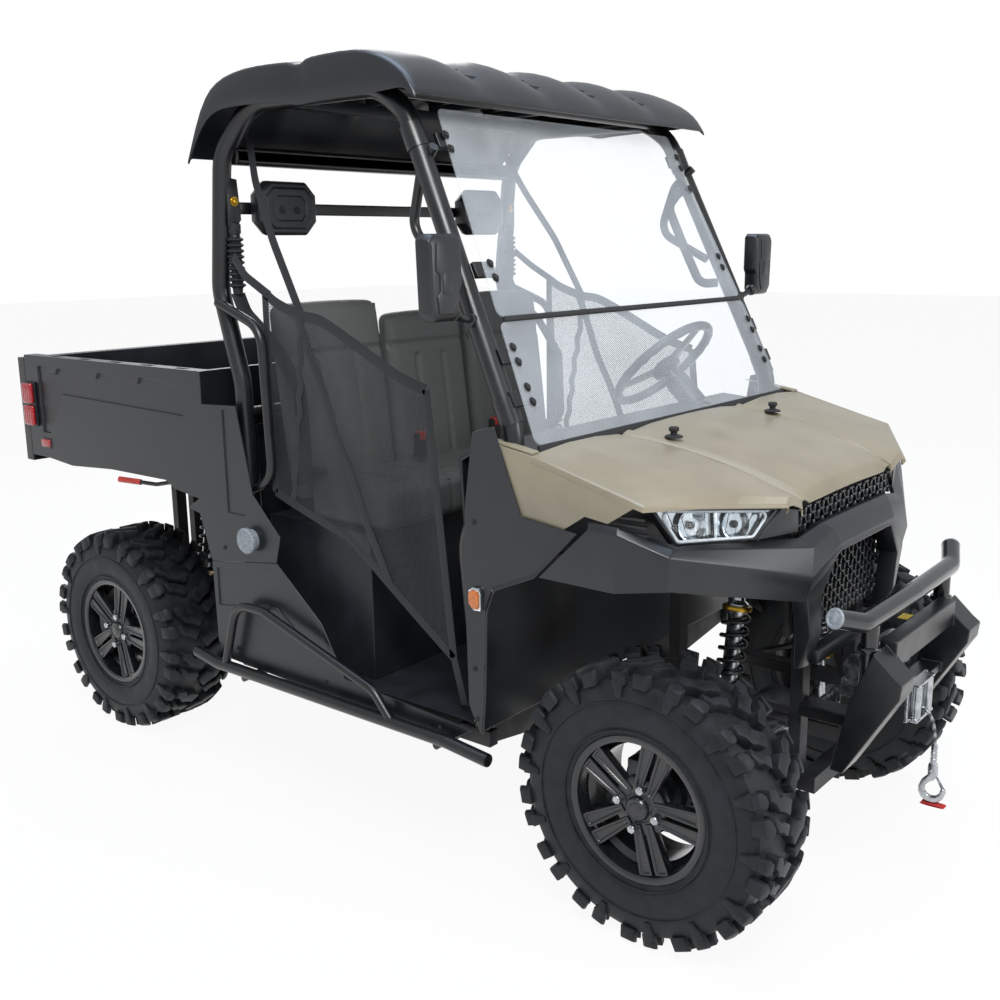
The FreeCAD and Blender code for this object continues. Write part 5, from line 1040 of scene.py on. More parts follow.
class VEHICLE_OT_wheels(bpy.types.Operator):
    """Build the four tyres and rims with their caps, nuts and brake discs"""

    bl_idname = "vehicle.wheels"
    bl_label = "Wheels"

    def execute(self, context):
        for end, axle, width, rim_width in (("front", FRONT_AXLE, 0.2034, 0.18),
            ("rear", REAR_AXLE, 0.236, 0.21)):
            for way, side in ((1, "left"), (-1, "right")):
                node = "%s_%s" % (end, side)
                body = "wheel_" + node
                low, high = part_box(node + "_tyre")
                middle = (low.x + high.x) / 2
                tyre = build_tyre(node + "_lugged_tyre", width, axle, middle)
                if way < 0:
                    tyre.data.transform(Matrix.Translation((middle, axle, 0)) @ Matrix.Rotation(math.pi, 4,
                        "Z") @ Matrix.Translation((-middle, -axle, 0)))
                put(tyre, "tread_rubber", node + "_tyre", body=body)
                rim = build_rim(node + "_spoked_rim", rim_width, way)
                cap, nuts = wheel_fittings(node, rim_width, way)
                rim_low, rim_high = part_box(node + "_rim")
                shift = Matrix.Translation(((rim_low.x + rim_high.x) / 2, axle, HUB_HEIGHT))
                for piece in (rim, cap, nuts):
                    piece.data.transform(shift)
                put(rim, "painted_alloy_black", node + "_rim", body=body)
                put(cap, "painted_alloy_black", body=body)
                put(nuts, "zinc_plated_steel", body=body)
                disc_x = (rim_low.x + rim_high.x) / 2 - way * 0.03
                disc = turned(node + "_brake_disc", [(0.002, 0.058), (0.002, 0.098), (0.0012, 0.1),
                    (-0.0012, 0.1), (-0.002, 0.098), (-0.002, 0.058)], (disc_x, axle, HUB_HEIGHT), "X", 64,
                    closed=True)
                # Black plugs set in the disc's drill holes, in the seal rubber finish: painted shade in the
                # holes.
                hole = cylinder(12, 0.0042, 0.0046, (disc_x, axle, HUB_HEIGHT + 0.07), (0, math.pi / 2, 0))
                holes = [ring_of(copied(hole, "h%d" % i, Matrix.Translation((0, 0, i * 0.01))), 18,
                    (disc_x, axle, HUB_HEIGHT), "X", "hole%d" % i, i * 0.5) for i in range(3)]
                bpy.data.objects.remove(hole)
                put(disc, "brushed_disc_steel", body=body)
                put(join(node + "_painted_hole_shade", holes), "seal_rubber", body=body)
                hat = turned(node + "_disc_hat", [(-0.0035, 0.059), (-0.0035, 0.064), (0.0035, 0.064),
                    (0.0035, 0.059), (way * 0.016, 0.05), (way * 0.018, 0)], (disc_x, axle, HUB_HEIGHT),
                    "X", 48)
                put(hat, "cast_aluminium", body=body)
        return {"FINISHED"}


# Cage, bars and steering wheel


CAGE_SIDE = [(0.575, -0.524, 0.3875), (0.6, -0.5018, 0.85), (0.6, -0.655, 1.06),
    (0.56, -0.3109, 1.783), (0.56, -0.225, 1.839), (0.56, 0.22, 1.839), (0.585, 0.31, 1.72),
    (0.585, 0.348, 1.38), (0.585, 0.28, 1.144), (0.575, 0.285, 0.3875)]


class VEHICLE_OT_cage(bpy.types.Operator):
    """Bend the roll cage, its cross bars, gussets and grab handle"""

    bl_idname = "vehicle.cage"
    bl_label = "Roll cage"

    def execute(self, context):
        hoop = tube("roll_cage_tubes", CAGE_SIDE, 0.0238, 0.13)
        side = both_sides(hoop)
        parts = [side]
        for y, z, half, radius in ((-0.265, 1.831, 0.555, 0.016), (0.27, 1.064, 0.58, 0.016)):
            parts.append(tube("cross", [(-half, y, z), (half, y, z)], radius))
        channel = block("channel", (-0.56, 0.286, 1.696), (0.56, 0.324, 1.742), 0.005, 3)
        choose(channel, lambda normal: normal.y < -0.9)
        bpy.ops.mesh.inset(thickness=0.008, depth=-0.006)
        leave()
        rail = block("headrest_rail", (-0.562, 0.3225, 1.5745), (0.562, 0.3335, 1.6055), 0.004, 3)
        parts += [channel, rail]
        for way in (1, -1):
            gusset = plate("gusset", [(way * 0.566, 0.262, 1.822), (way * 0.566, 0.17, 1.832),
                (way * 0.566, 0.262, 1.735), (way * 0.566, 0.292, 1.735)], (way * 0.008, 0, 0), 0.0015)
            parts.append(gusset)
        put(join("roll_cage_tubes", parts), "powder_coat_black", "roll_cage")
        clamps = []
        for y, z in ((-0.3395, 1.722), (-0.6175, 1.138)):
            for way in (1, -1):
                x = 0.565 if z > 1.5 else 0.596
                clamps.append(tube("joint_sleeve", [(way * x, y - 0.012, z - 0.026),
                    (way * x, y + 0.012, z + 0.026)], 0.0262))
        put(join("cage_joint_sleeves", clamps), "powder_coat_black")
        grip = tube("passenger_grab_handle", [(0.52, -0.505, 1.375), (0.486, -0.468, 1.372),
            (0.47, -0.425, 1.47), (0.462, -0.372, 1.59), (0.48, -0.395, 1.63), (0.512, -0.412, 1.638)],
            0.0125, 0.035)
        put(grip, "seal_rubber")
        return {"FINISHED"}


class VEHICLE_OT_bars(bpy.types.Operator):
    """Bend the bull bar, the side step bars and the hip bars"""

    bl_idname = "vehicle.bars"
    bl_label = "Bull bar and side bars"

    def execute(self, context):
        front = -1.293
        bar = tube("bull_bar_tube", [(-0.3545, front + 0.026, 0.743), (-0.273, front - 0.002, 0.717),
            (0, front - 0.008, 0.7175), (0.273, front - 0.002, 0.717), (0.3545, front + 0.026, 0.743)],
            0.0218, 0.075, 12)
        posts = []
        for way in (1, -1):
            posts.append(tube("post", [(way * 0.225, front, 0.562), (way * 0.225, front, 0.706)], 0.0188,
                0.05, 10))
            posts.append(turned("post_collar", [(0.64, 0.0192), (0.64, 0.0235), (0.643, 0.025),
                (0.65, 0.025), (0.653, 0.0235), (0.653, 0.0192)], (way * 0.225, front, 0), "Z", 32,
                closed=True))
        put(join("bull_bar_tube", [bar] + posts), "gloss_black_enamel", "bull_bar")
        caps = []
        for way in (1, -1):
            axis = Vector((way * 0.0815, 0.028, 0.026)).normalized()
            cap = turned("bar_cap", [(-0.004, 0), (-0.004, 0.0205), (-0.001, 0.0222), (0.002, 0.0222),
                (0.0035, 0.0205), (0.0038, 0.0165), (0.0026, 0.015), (0.0026, 0.012), (0.0034, 0.0105),
                (0.0036, 0)], ORIGIN, "Z", 32)
            turn = aimed(axis)
            cap.data.transform(Matrix.Translation((way * 0.3545, front + 0.026, 0.743)) @ turn)
            caps.append(cap)
        put(join("bull_bar_end_caps", caps), "grey_polyamide")

        x = 0.668
        rail = tube("rail", [(x - 0.006, 0.4535, 0.383), (x, 0.36, 0.372), (x, -0.48, 0.372),
            (x - 0.006, -0.6005, 0.356)], 0.0158, 0.16, 10)
        loop = tube("loop", [(x, 0.323, 0.375), (x, 0.262, 0.56), (x, 0.15, 0.56), (x, -0.25, 0.44),
            (x, -0.311, 0.37)], 0.0118, 0.07, 8)
        mounts = [tube("mount", [(0.591, y, 0.352), (x, y, 0.352)], 0.0098) for y in (0.25, -0.45)]
        plugs = [turned("plug", [(0, 0), (0, 0.0155), (way * 0.004, 0.015), (way * 0.006, 0)],
            (x - 0.006, y, z), "Y", 24) for way, y, z in ((1, 0.453, 0.383), (-1, -0.6, 0.356))]
        steps = both_sides(join("side_step_tubes", [rail, loop] + mounts + plugs))
        put(steps, "powder_coat_black", "step_bars")

        hip = tube("hip_bar_tubes", [(0.612, 0.33, 1.352), (0.612, 0.165, 1.29), (0.612, 0.15, 0.9),
            (0.612, 0.285, 0.845)], 0.0123, 0.07, 8)
        put(both_sides(hip), "powder_coat_black", "hip_bars")
        return {"FINISHED"}


class VEHICLE_OT_steering_wheel(bpy.types.Operator):
    """Turn the steering wheel: padded grip, three spokes, hub and horn pad"""

    bl_idname = "vehicle.steering_wheel"
    bl_label = "Steering wheel"

    def execute(self, context):
        radius = 0.159
        grip = started("grip", "torus", major_segments=96, minor_segments=16, major_radius=radius,
            minor_radius=0.0128)
        for vertex in grip.data.vertices:
            turn = math.atan2(vertex.co.y, vertex.co.x)
            swell = 1 + 0.05 * math.cos(turn * 24) * (vertex.co.z < 0)
            flat = Vector((vertex.co.x, vertex.co.y, 0))
            rim = flat.normalized() * radius
            off = flat - rim
            vertex.co = Vector((*(rim + off * swell).xy, vertex.co.z * swell))
        smooth(grip, 60)
        parts = []
        for turn in (90, 210, 330):
            spoke = cube((0.13, 0.034, 0.012), (0.09, 0, -0.01))
            choose(spoke, lambda normal: normal.x > 0.9)
            bpy.ops.transform.resize(value=(1, 0.7, 0.8))
            bpy.ops.transform.translate(value=(0, 0, 0.008))
            leave()
            choose(spoke, lambda normal: normal.z > 0.7)
            bpy.ops.mesh.inset(thickness=0.006, depth=-0.003)
            leave()
            eased(spoke, 0.002, 2)
            spoke.data.transform(Matrix.Rotation(math.radians(turn), 4, "Z"))
            parts.append(smooth(spoke))
        hub = turned("hub", [(0.004, 0), (0.004, 0.03), (0.0, 0.038), (-0.004, 0.04), (-0.006, 0.046),
            (-0.024, 0.043), (-0.03, 0.034), (-0.034, 0.022), (-0.06, 0.02), (-0.06, 0)], ORIGIN, "Z",
            48)
        parts.append(hub)
        wheel = join("steering_wheel_moulded", [grip] + parts)
        axis = Vector((0, math.cos(math.pi / 4), math.sin(math.pi / 4)))
        turn = aimed(axis)
        wheel.data.transform(Matrix.Translation((0.358, -0.428, 1.15)) @ turn)
        put(wheel, "smooth_polypropylene", "steering_wheel", body="steering")
        return {"FINISHED"}


# Shock absorbers

SHOCK_LEAD = 0.032  # How far a shock stands ahead of its axle


def build_shock(name, foot, head):
    """A coil-over unit: body, spring, gold collars and eyes."""
    foot, head = Vector(foot), Vector(head)
    along = head - foot
    length = along.length
    turns = sizes().coil_count
    wire_radius, coil_radius = 0.0052, 0.0285
    steps = turns * 20
    low, high = 0.37 * length, 0.86 * length
    helix = []
    for step in range(steps + 1):
        share = step / steps
        turn = math.tau * turns * share
        rise = low + (high - low) * share
        helix.append((coil_radius * math.cos(turn), coil_radius * math.sin(turn), rise))
    coil = wire(name + "_coil", helix, wire_radius, 4)
    activate(coil)
    bpy.ops.object.convert(target="MESH")
    smooth(coil, 60)
    body = turned(name + "_body", [(0.012, 0), (0.012, 0.0095), (0.4 * length, 0.0095),
        (0.4 * length, 0.019), (0.84 * length, 0.019), (0.86 * length, 0.024), (0.9 * length, 0.024),
        (0.92 * length, 0.014), (length - 0.01, 0.013), (length - 0.01, 0)], ORIGIN, "Z", 28)
    collars = [turned(name + "_collar", [(at, 0.02), (at, 0.033), (at + 0.003, 0.034), (at + 0.008, 0.034),
        (at + 0.011, 0.033), (at + 0.011, 0.02)], ORIGIN, "Z", 28, closed=True)
        for at in (0.345 * length, 0.87 * length)]
    eyes = []
    for at in (0, length):
        eye = cylinder(24, 0.0118, 0.034, (0, 0, at), (math.pi / 2, 0, 0))
        choose(eye, lambda normal: abs(normal.y) > 0.9)
        bpy.ops.mesh.inset(thickness=0.004, depth=-0.003, use_individual=True)
        leave()
        eased(eye, 0.0012, 2, 0.7)
        eyes.append(smooth(eye))
    turn = aimed(along.normalized())
    matrix = Matrix.Translation(foot) @ turn
    # The eyes lie along the frame's Y axis, so they are turned back to it.
    for piece in [coil, body] + collars:
        piece.data.transform(matrix)
    for eye, place in zip(eyes, (foot, head)):
        eye.data.transform(Matrix.Translation(place - Vector((0, 0, 0 if place == foot else length))))
    return coil, join(name + "_strut", [body] + eyes), join(name + "_collars", collars)


class VEHICLE_OT_shocks(bpy.types.Operator):
    """Wind the four springs round their struts"""

    bl_idname = "vehicle.shocks"
    bl_label = "Shock absorbers"

    def execute(self, context):
        coils, struts, collars = [], [], []
        for y in (FRONT_AXLE - SHOCK_LEAD, REAR_AXLE - SHOCK_LEAD):
            for way in (1, -1):
                coil, strut, collar = build_shock("shock", (way * 0.297, y, 0.2615), (way * 0.212, y, 0.7327))
                coils.append(coil)
                struts.append(strut)
                collars.append(collar)
        put(join("shock_springs", coils), "spring_enamel", "shock_absorbers")
        put(join("shock_struts", struts), "zinc_plated_steel")
        put(join("shock_collars", collars), "gold_anodised")
        return {"FINISHED"}


def smoothed(table, steps):
    """More rows between the rows of a table, on smooth curves through them."""
    made = []
    for i in range(len(table) - 1):
        near = [table[max(i - 1, 0)], table[i], table[i + 1], table[min(i + 2, len(table) - 1)]]
        for step in range(steps):
            t = step / steps
            row = []
            for a, b, c, d in zip(*near):
                bend = 2 * a - 5 * b + 4 * c - d + t * (3 * (b - c) + d - a)
                row.append(b + 0.5 * t * (c - a + t * bend))
            made.append(tuple(row))
    return made + [tuple(table[-1])]


class VEHICLE_OT_roof(bpy.types.Operator):
    """Lay the moulded roof: long humps, a groove across them, rolled sides and a rear drop"""

    bl_idname = "vehicle.roof"
    bl_label = "Roof"

    def execute(self, context):
        half, top, rise = 0.6215, 1.9, 0.028
        stations = smoothed([(-0.394, 0.092, 0.0, 0.004), (-0.359, 0.052, 0.35, 0.026),
            (-0.295, 0.02, 0.8, 0.066), (-0.205, 0.002, 1.0, 0.088), (-0.072, 0.002, 1.0, 0.092),
            (-0.037, 0.004, 0.45, 0.084), (-0.008, 0.004, 0.45, 0.082), (0.03, 0.004, 0.95, 0.082),
            (0.17, 0.004, 0.95, 0.076), (0.275, 0.024, 0.8, 0.06), (0.339, 0.072, 0.4, 0.042),
            (0.404, 0.185, 0.0, 0.006)], 3)
        rows = []
        for y, drop, share, depth in stations:
            row = []
            for n in range(51):
                t = n / 10
                hump = abs(math.sin(math.pi * t)) ** 0.75
                if t < 0.5 or t > 4.5:
                    hump = 0.55 + 0.45 * hump
                row.append(Vector(((half - 0.012) * (1 - n / 25), y, top - drop + rise * share * hump)))
            edge = row[0].z
            side = [(half, edge - 0.009 - depth), (half, edge - 0.01), (half - 0.004, edge - 0.003)]
            left = [Vector((x, y, z)) for x, z in side]
            right = [Vector((-x, y, z)) for x, z in side[::-1]]
            rows.append(left + row + right)
        skin = panel("roof_skin", rows, 0.005, fold=0, rim=0.0012, angle=50)
        put(skin, "smooth_polypropylene", "roof_panel")
        trims = []
        for x in (-0.38, -0.13, 0.13, 0.38):
            trims.append(block("rib", (x - 0.012, -0.3, 1.866), (x + 0.012, 0.24, 1.888), 0.004))
        for y in (-0.318, 0.232):
            trims.append(block("header", (-0.56, y - 0.016, 1.838), (0.56, y + 0.016, 1.872), 0.005))
        put(join("roof_ribs_beneath", trims), "moulded_polypropylene")
        studs = []
        for y in (-0.15, 0.09):
            for way in (1, -1):
                studs.append(block("stud", (way * 0.53 - 0.012, y - 0.02, 1.872),
                    (way * 0.53 + 0.012, y + 0.02, 1.905), 0.002))
        put(join("roof_studs", studs), "powder_coat_black")
        return {"FINISHED"}


LAMP = [(0.333, -1.1275, 0.951), (0.588, -0.968, 0.977), (0.543, -1.006, 0.893), (0.386, -1.102, 0.889)]


def on_lamp(along, up, deep=0.0):
    """A place on the headlamp's face: along from its inner end, up from its low edge, and behind it."""
    inner_top, outer_top, outer_low, inner_low = [Vector(p) for p in LAMP]
    low = inner_low.lerp(outer_low, along)
    high = inner_top.lerp(outer_top, along)
    behind = (outer_top - inner_low).cross(inner_top - outer_low).normalized()
    behind = behind if behind.y > 0 else -behind
    return low.lerp(high, up) + behind * deep


def build_headlamp():
    """The left headlamp: a bucket, two bowls, a divider, a light guide round the edge and a lens."""
    ring = [(0, 0), (1, 0), (1, 1), (0, 1)]
    rim = [(0.03, 0.06), (0.97, 0.06), (0.97, 0.94), (0.03, 0.94)]
    walls = []
    for (a, b), (c, d) in zip(ring, ring[1:] + ring[:1]):
        e, f = rim[ring.index((a, b))]
        g, h = rim[ring.index((c, d))]
        rows = [[on_lamp(a, b, 0.001), on_lamp(c, d, 0.001)], [on_lamp(e, f, 0), on_lamp(g, h, 0)]]
        rows.append([on_lamp(e, f, 0.034), on_lamp(g, h, 0.034)])
        walls.append(panel("bezel", rows, 0.002, fold=0.0008, rim=0.0003, outward=(0, -1, 0.2)))
    back = [[on_lamp(s, t, 0.034) for s in (0.0, 1.0)] for t in (0.0, 1.0)]
    walls.append(panel("back", back, 0.002, fold=0, rim=0, outward=(0, -1, 0)))
    put(both_sides(join("headlamp_bucket", walls)), "smooth_polypropylene", "headlamps")
    bowls = []
    face = (on_lamp(0.5, 0.5, -1) - on_lamp(0.5, 0.5)).normalized()
    turn = aimed(face)
    for along, size in ((0.29, 0.03), (0.7, 0.03)):
        bowl = turned("bowl", [(-0.02, 0), (-0.019, size * 0.45), (-0.012, size * 0.8), (-0.002, size),
            (0.0, size + 0.002), (-0.004, size + 0.004), (-0.024, size * 0.7), (-0.026, 0)], ORIGIN, "Z",
            40)
        bowl.data.transform(Matrix.Translation(on_lamp(along, 0.5, 0.012)) @ turn)
        bowls.append(bowl)
    facets = []
    for n in range(9):
        a = 0.05 + n * 0.1
        facets.append(plate("facet", [on_lamp(a, 0.1, 0.026), on_lamp(a + 0.085, 0.1, 0.03),
            on_lamp(a + 0.085, 0.9, 0.03), on_lamp(a, 0.9, 0.026)], face * 0.002, 0.0006))
    divider = plate("divider", [on_lamp(s, t, 0.004) for s, t in ((0.485, 0.08), (0.515, 0.08),
        (0.515, 0.92), (0.485, 0.92))], face * -0.02, 0.001)
    put(both_sides(join("headlamp_reflectors", bowls + facets + [divider])), "lamp_reflector")
    bulbs = []
    for along in (0.29, 0.7):
        bulb = turned("bulb", [(-0.02, 0), (-0.02, 0.007), (-0.006, 0.008), (-0.003, 0.006),
            (-0.002, 0)], ORIGIN, "Z", 24)
        bulb.data.transform(Matrix.Translation(on_lamp(along, 0.5, 0.01)) @ turn)
        bulbs.append(bulb)
    put(both_sides(join("headlamp_bulb_shades", bulbs)), "smooth_polypropylene")
    corners = [on_lamp(s, t, 0.004) for s, t in ((0.055, 0.1), (0.945, 0.1), (0.945, 0.89), (0.055, 0.89))]
    middle, beside = [corners[0].lerp(corners[1], share) for share in (0.5, 0.499)]
    line = [middle] + corners[1:] + corners[:1] + [beside]
    bar = plate("bar", [on_lamp(s, t, 0.002) for s, t in ((0.07, 0.86), (0.93, 0.86), (0.95, 0.965),
        (0.05, 0.965))], face * -0.002, 0.0006)
    put(both_sides(join("headlamp_guide", [tube("guide", line, 0.0036, 0.012, 6), bar])), "light_guide")
    lens = plate("headlamp_lens", [on_lamp(*p, 0.0005) for p in rim], face * -0.0022, 0.0008)
    put(both_sides(lens), "lamp_lens")


def hood_height(x, share):
    """How high the hood stands at a place across it, at a share of the way to its front edge."""
    return 1.062 - 0.112 * share + 0.012 * (1 - (x / 0.33) ** 2) + 0.08 * share * (1 - share)


def build_hood():
    """The lid with its side ribs and turned-down lip, the wings beside it, and the cheeks behind them."""
    rows = []
    for share, lift in smoothed([(0.004, 0), (0.2, 0), (0.45, 0), (0.7, 0.003), (0.895, 0.008)],
        3) + [(0.94, 0.0075), (0.965, 0.004), (0.997, -0.019)]:
        half = 0.2965 - 0.05 * share
        row = []
        for part, up in ((1, -0.016), (1, -0.006), (0.985, -0.0025), (0.93, 0.0015), (0.9, 0.0015),
            (0.86, -0.0035), (0.6, 0), (0.3, 0), (0.0, 0)):
            end = max(0.0, (share - 0.9) * 10)
            z = hood_height(half * part, share) + lift * min(1, (1 - part) * 6) + up * (1 - 0.6 * end)
            row.append(Vector((half * part, -0.712 - 0.428 * share, z)))
        rows.append(row + [Vector((-p.x, p.y, p.z)) for p in row[-2::-1]])
    lid = panel("hood_lid_skin", rows, 0.0035, fold=0.0022, rim=0.001)
    put(lid, "satin_khaki_panel", "hood_lid", body="bonnet")
    rows = []
    for share in (0.0, 0.2, 0.42, 0.64, 0.7, 0.78, 0.87, 0.94, 1.0):
        seam = 0.3035 - 0.05 * share
        top = hood_height(seam - 0.006, share) - 0.002
        sweep = max(0.0, (share - 0.64) / 0.36)
        edge = 0.634 + (0.33 - 0.634) * sweep
        low = 1.062 - 0.07 * min(1, share / 0.64) - 0.033 * sweep
        y = -0.712 - 0.428 * share
        row = [Vector((seam, y, top - 0.014)), Vector((seam + 0.001, y, top - 0.002))]
        for part in (0.02, 0.3, 0.62, 0.9, 1.0):
            swell = 0.01 * math.sin(math.pi * min(1, part * 1.02)) + {0.62: 0.005, 0.9: 0.012}.get(part,
                0.0) * min(1, 3 * sweep)
            row.append(Vector((seam + (edge - seam) * part, y, top + (low - top) * part + swell)))
        out = Vector((0.0075, 0.0, -0.003)).lerp(Vector((0.004, -0.006, -0.002)), sweep)
        row.append(row[-1] + out)
        row.append(row[-1] + Vector((0.0005, -0.0005, -0.011 + 0.006 * min(1, 3 * sweep))))
        rows.append(row)
    drops = [0.02] * (len(rows[-1]) - 2) + [0.008, 0.003]
    rows.append([point + Vector((0, -0.003, -drop)) for point, drop in zip(rows[-1], drops)])
    wing = panel("wing", rows, 0.0035, fold=0.0022, rim=0.001)
    cheek = [(-0.556, 1.088), (-0.645, 0.928), (-0.792, 0.913), (-0.849, 0.951), (-0.905, 0.944),
        (-0.969, 0.986), (-0.967, 0.995), (-0.714, 1.062)]
    side = plate("cheek", [(0.6375, y, z) for y, z in cheek], (0.0042, 0, 0), 0.0016)
    trim = [(-0.556, 1.0885), (-0.714, 1.0625), (-0.714, 1.068), (-0.64, 1.08)]
    fold = plate("fold", [(0.612, y, z) for y, z in trim], (0.026, 0, 0), 0.002)
    put(both_sides(join("hood_wings", [wing, side, fold])), "satin_khaki_panel", "hood_sides")


def build_fascia():
    """The nose's folded shell with its ledge, bevel and crease, and the legs beside the lower grille."""
    outer = 0.644
    tables = [[(0, -1.1375, 0.89), (0.19, -1.1375, 0.89), (0.275, -1.1375, 0.872),
        (outer - 0.096, -1.0, 0.893), (outer - 0.01, -0.93, 0.938), (outer - 0.01, -0.86, 0.94)],
        [(0, -1.157, 0.895), (0.183, -1.157, 0.894), (0.275, -1.146, 0.878), (outer - 0.084, -1.018, 0.898),
        (outer - 0.004, -0.93, 0.941), (outer - 0.003, -0.86, 0.941)],
        [(0, -1.176, 0.88), (0.166, -1.176, 0.879), (0.262, -1.177, 0.858), (outer - 0.052, -1.03, 0.9),
        (outer, -0.93, 0.936), (outer + 0.001, -0.86, 0.937)],
        [(0, -1.192, 0.845), (0.158, -1.192, 0.845), (0.275, -1.184, 0.798), (outer - 0.024, -1.036, 0.89),
        (outer + 0.006, -0.93, 0.926), (outer + 0.004, -0.862, 0.928)],
        [(0, -1.19, 0.827), (0.149, -1.19, 0.827), (0.277, -1.17, 0.738), (outer - 0.026, -1.03, 0.818),
        (outer, -0.923, 0.802), (outer + 0.001, -0.734, 0.803)],
        [(0, -1.178, 0.824), (0.146, -1.178, 0.824), (0.262, -1.15, 0.736), (outer - 0.04, -1.018, 0.816),
        (outer - 0.016, -0.915, 0.802), (outer - 0.012, -0.74, 0.804)]]
    rows = [[Vector((-x, y, z)) for x, y, z in row[:0:-1]] + [Vector(p) for p in row] for row in tables]
    pieces = [panel("shell", rows, 0.0035, fold=0.0045, rim=0.001, outward=(0, -1, 0))]
    for way in (1, -1):
        sections = []
        for inside, outside, y, z in ((0.152, 0.271, -1.186, 0.826), (0.222, 0.277, -1.182, 0.742),
            (0.21, 0.25, -1.18, 0.652), (0.196, 0.226, -1.148, 0.566)):
            deep = -1.1345 if z > 0.6 else -1.126
            corners = [(inside, y), (outside, y + 0.008), (outside, deep), (inside, deep)]
            sections.append([Vector((way * a, b, z)) for a, b in corners])
        pieces.append(lofted("leg", sections, 0.003, 3))
    pieces.append(block("sill", (-0.205, -1.172, 0.576), (0.205, -1.143, 0.61), 0.004))
    put(join("nose_shell", pieces), "smooth_polypropylene", "front_fascia")
    core = [block("core", (-0.246, -1.118, 0.64), (0.246, -1.104, 0.926), 0.002)]
    fin = block("fin", (-0.0008, -1.1205, 0.645), (0.0008, -1.1175, 0.921), 0)
    core += [fin] + [copied(fin, "fin", Matrix.Translation((x * 0.0102, 0, 0))) for x in range(-23, 24) if x]
    # Black blocks behind the upper grille and under the front of the seams between lid and wings, in the seal
    # rubber finish, so that the gaps there read dark: painted shade.
    core.append(block("gap_shade_block", (-0.3, -1.118, 0.89), (0.3, -1.106, 0.94), 0.001))
    core.append(both_sides(block("seam_shade_block", (0.238, -1.13, 0.88), (0.275, -0.96, 0.941), 0.002)))
    put(join("radiator_core_and_shade_blocks", core), "seal_rubber")


def grille_mesh(name, outline, y, pitch, drop):
    """Interlocking bars and slanting legs laid in rows, kept where their middles lie in an outline."""
    cell = [block("bar", (-0.0115, 0, -0.0028), (0.0115, 0.0088, 0.0028), 0.0012, 1)]
    for way in (1, -1):
        foot, head = way * (pitch / 2 - 0.009), way * 0.0085
        corners = [(head - way * 0.004, 0, 0), (head + way * 0.002, 0, 0),
            (foot + way * 0.003, 0, -drop), (foot - way * 0.003, 0, -drop)]
        cell.append(plate("leg", [(x, 0.0022, z) for x, _, z in corners], (0, 0.0064, 0), 0.0006, 1))
    cell = join("cell", cell)
    made = []
    for row in range(40):
        z = 0.95 - row * drop
        for column in range(-12, 13):
            x = (column + 0.5 * (row % 2)) * pitch
            inside = False
            for (a, b), (c, d) in zip(outline, outline[1:] + outline[:1]):
                if (b > z) != (d > z) and x < (c - a) * (z - b) / (d - b) + a:
                    inside = not inside
            if inside:
                made.append(copied(cell, name + "_cell", Matrix.Translation((x, y, z))))
    bpy.data.objects.remove(cell)
    return join(name, made)


class VEHICLE_OT_front(bpy.types.Operator):
    """Model the nose: hood, fascia, grille mesh, headlamps, marker lamps, latches and vents"""

    bl_idname = "vehicle.front"
    bl_label = "Nose and lamps"

    def execute(self, context):
        build_hood()
        build_fascia()
        put(softened("front_fenders", 0.002, 3), "smooth_polypropylene", "front_fenders")
        upper = [(-0.262, 0.884), (0.262, 0.884), (0.262, 0.938), (-0.262, 0.938)]
        lower = [(-0.215, 0.652), (0.215, 0.652), (0.232, 0.745), (0.155, 0.836), (-0.155, 0.836),
            (-0.232, 0.745)]
        meshes = [grille_mesh("upper", upper, -1.1372, 0.046, 0.0175),
            grille_mesh("lower", lower, -1.1372, 0.046, 0.0175)]
        put(join("grille_mesh", meshes), "smooth_polypropylene", "grilles")
        build_headlamp()
        vents = []
        for n in range(4):
            z = 0.904 + n * 0.016
            vents.append(plate("louvre", [(0.612, -0.985 + n * 0.004, z), (0.634, -0.905, z + 0.004),
                (0.634, -0.905, z + 0.01), (0.612, -0.985 + n * 0.004, z + 0.006)], (-0.012, 0.004, 0),
                0.001))
        ends = plate("lamp_end", [(0.329, -1.129, 0.95), (0.272, -1.14, 0.936), (0.27, -1.142, 0.888),
            (0.381, -1.104, 0.888)], (0, 0.004, 0), 0.001)
        put(both_sides(join("lamp_end_plates", vents + [ends])), "smooth_polypropylene")
        knobs = []
        for way in (1, -1):
            knobs.append(turned("knob_foot", [(0.0, 0), (0.0, 0.021), (0.003, 0.021), (0.005, 0.016),
                (0.005, 0)], (way * 0.25, -0.823, 1.058), "Z", 28))
            knobs.append(turned("knob", [(0.004, 0), (0.004, 0.0075), (0.013, 0.008), (0.015, 0.0115),
                (0.021, 0.012), (0.024, 0.0095), (0.025, 0)], (way * 0.25, -0.823, 1.058), "Z", 28))
        put(join("hood_latch_knobs", knobs), "seal_rubber", body="bonnet")
        x = 0.6468
        shape = [(-0.5835, 0.702), (-0.5625, 0.7005), (-0.5495, 0.716), (-0.549, 0.746), (-0.561, 0.7545),
            (-0.578, 0.7535), (-0.584, 0.742)]
        rim = plate("marker_rim", [(x, y, z) for y, z in shape], (0.01, 0, 0), 0.002)
        put(both_sides(rim), "lamp_reflector", "marker_lamps")
        middle = Vector((0, -0.5665, 0.7275))
        inner = [middle + (Vector((0, y, z)) - middle) * 0.8 for y, z in shape]
        lens = plate("marker_lens", [(x + 0.0095, p.y, p.z) for p in inner], (0.0066, 0, 0), 0.0022, 3)
        put(both_sides(lens), "amber_lens")
        return {"FINISHED"}


SCREEN_PARTS = (("windshield_lower", "chassis", "clear_polycarbonate", 0.0012),
    ("windshield_upper", "chassis", "clear_polycarbonate", 0.0012),
    ("windshield_seal", "chassis", "seal_rubber", 0.003),
    ("windshield_clamps", "chassis", "powder_coat_black", 0.002))


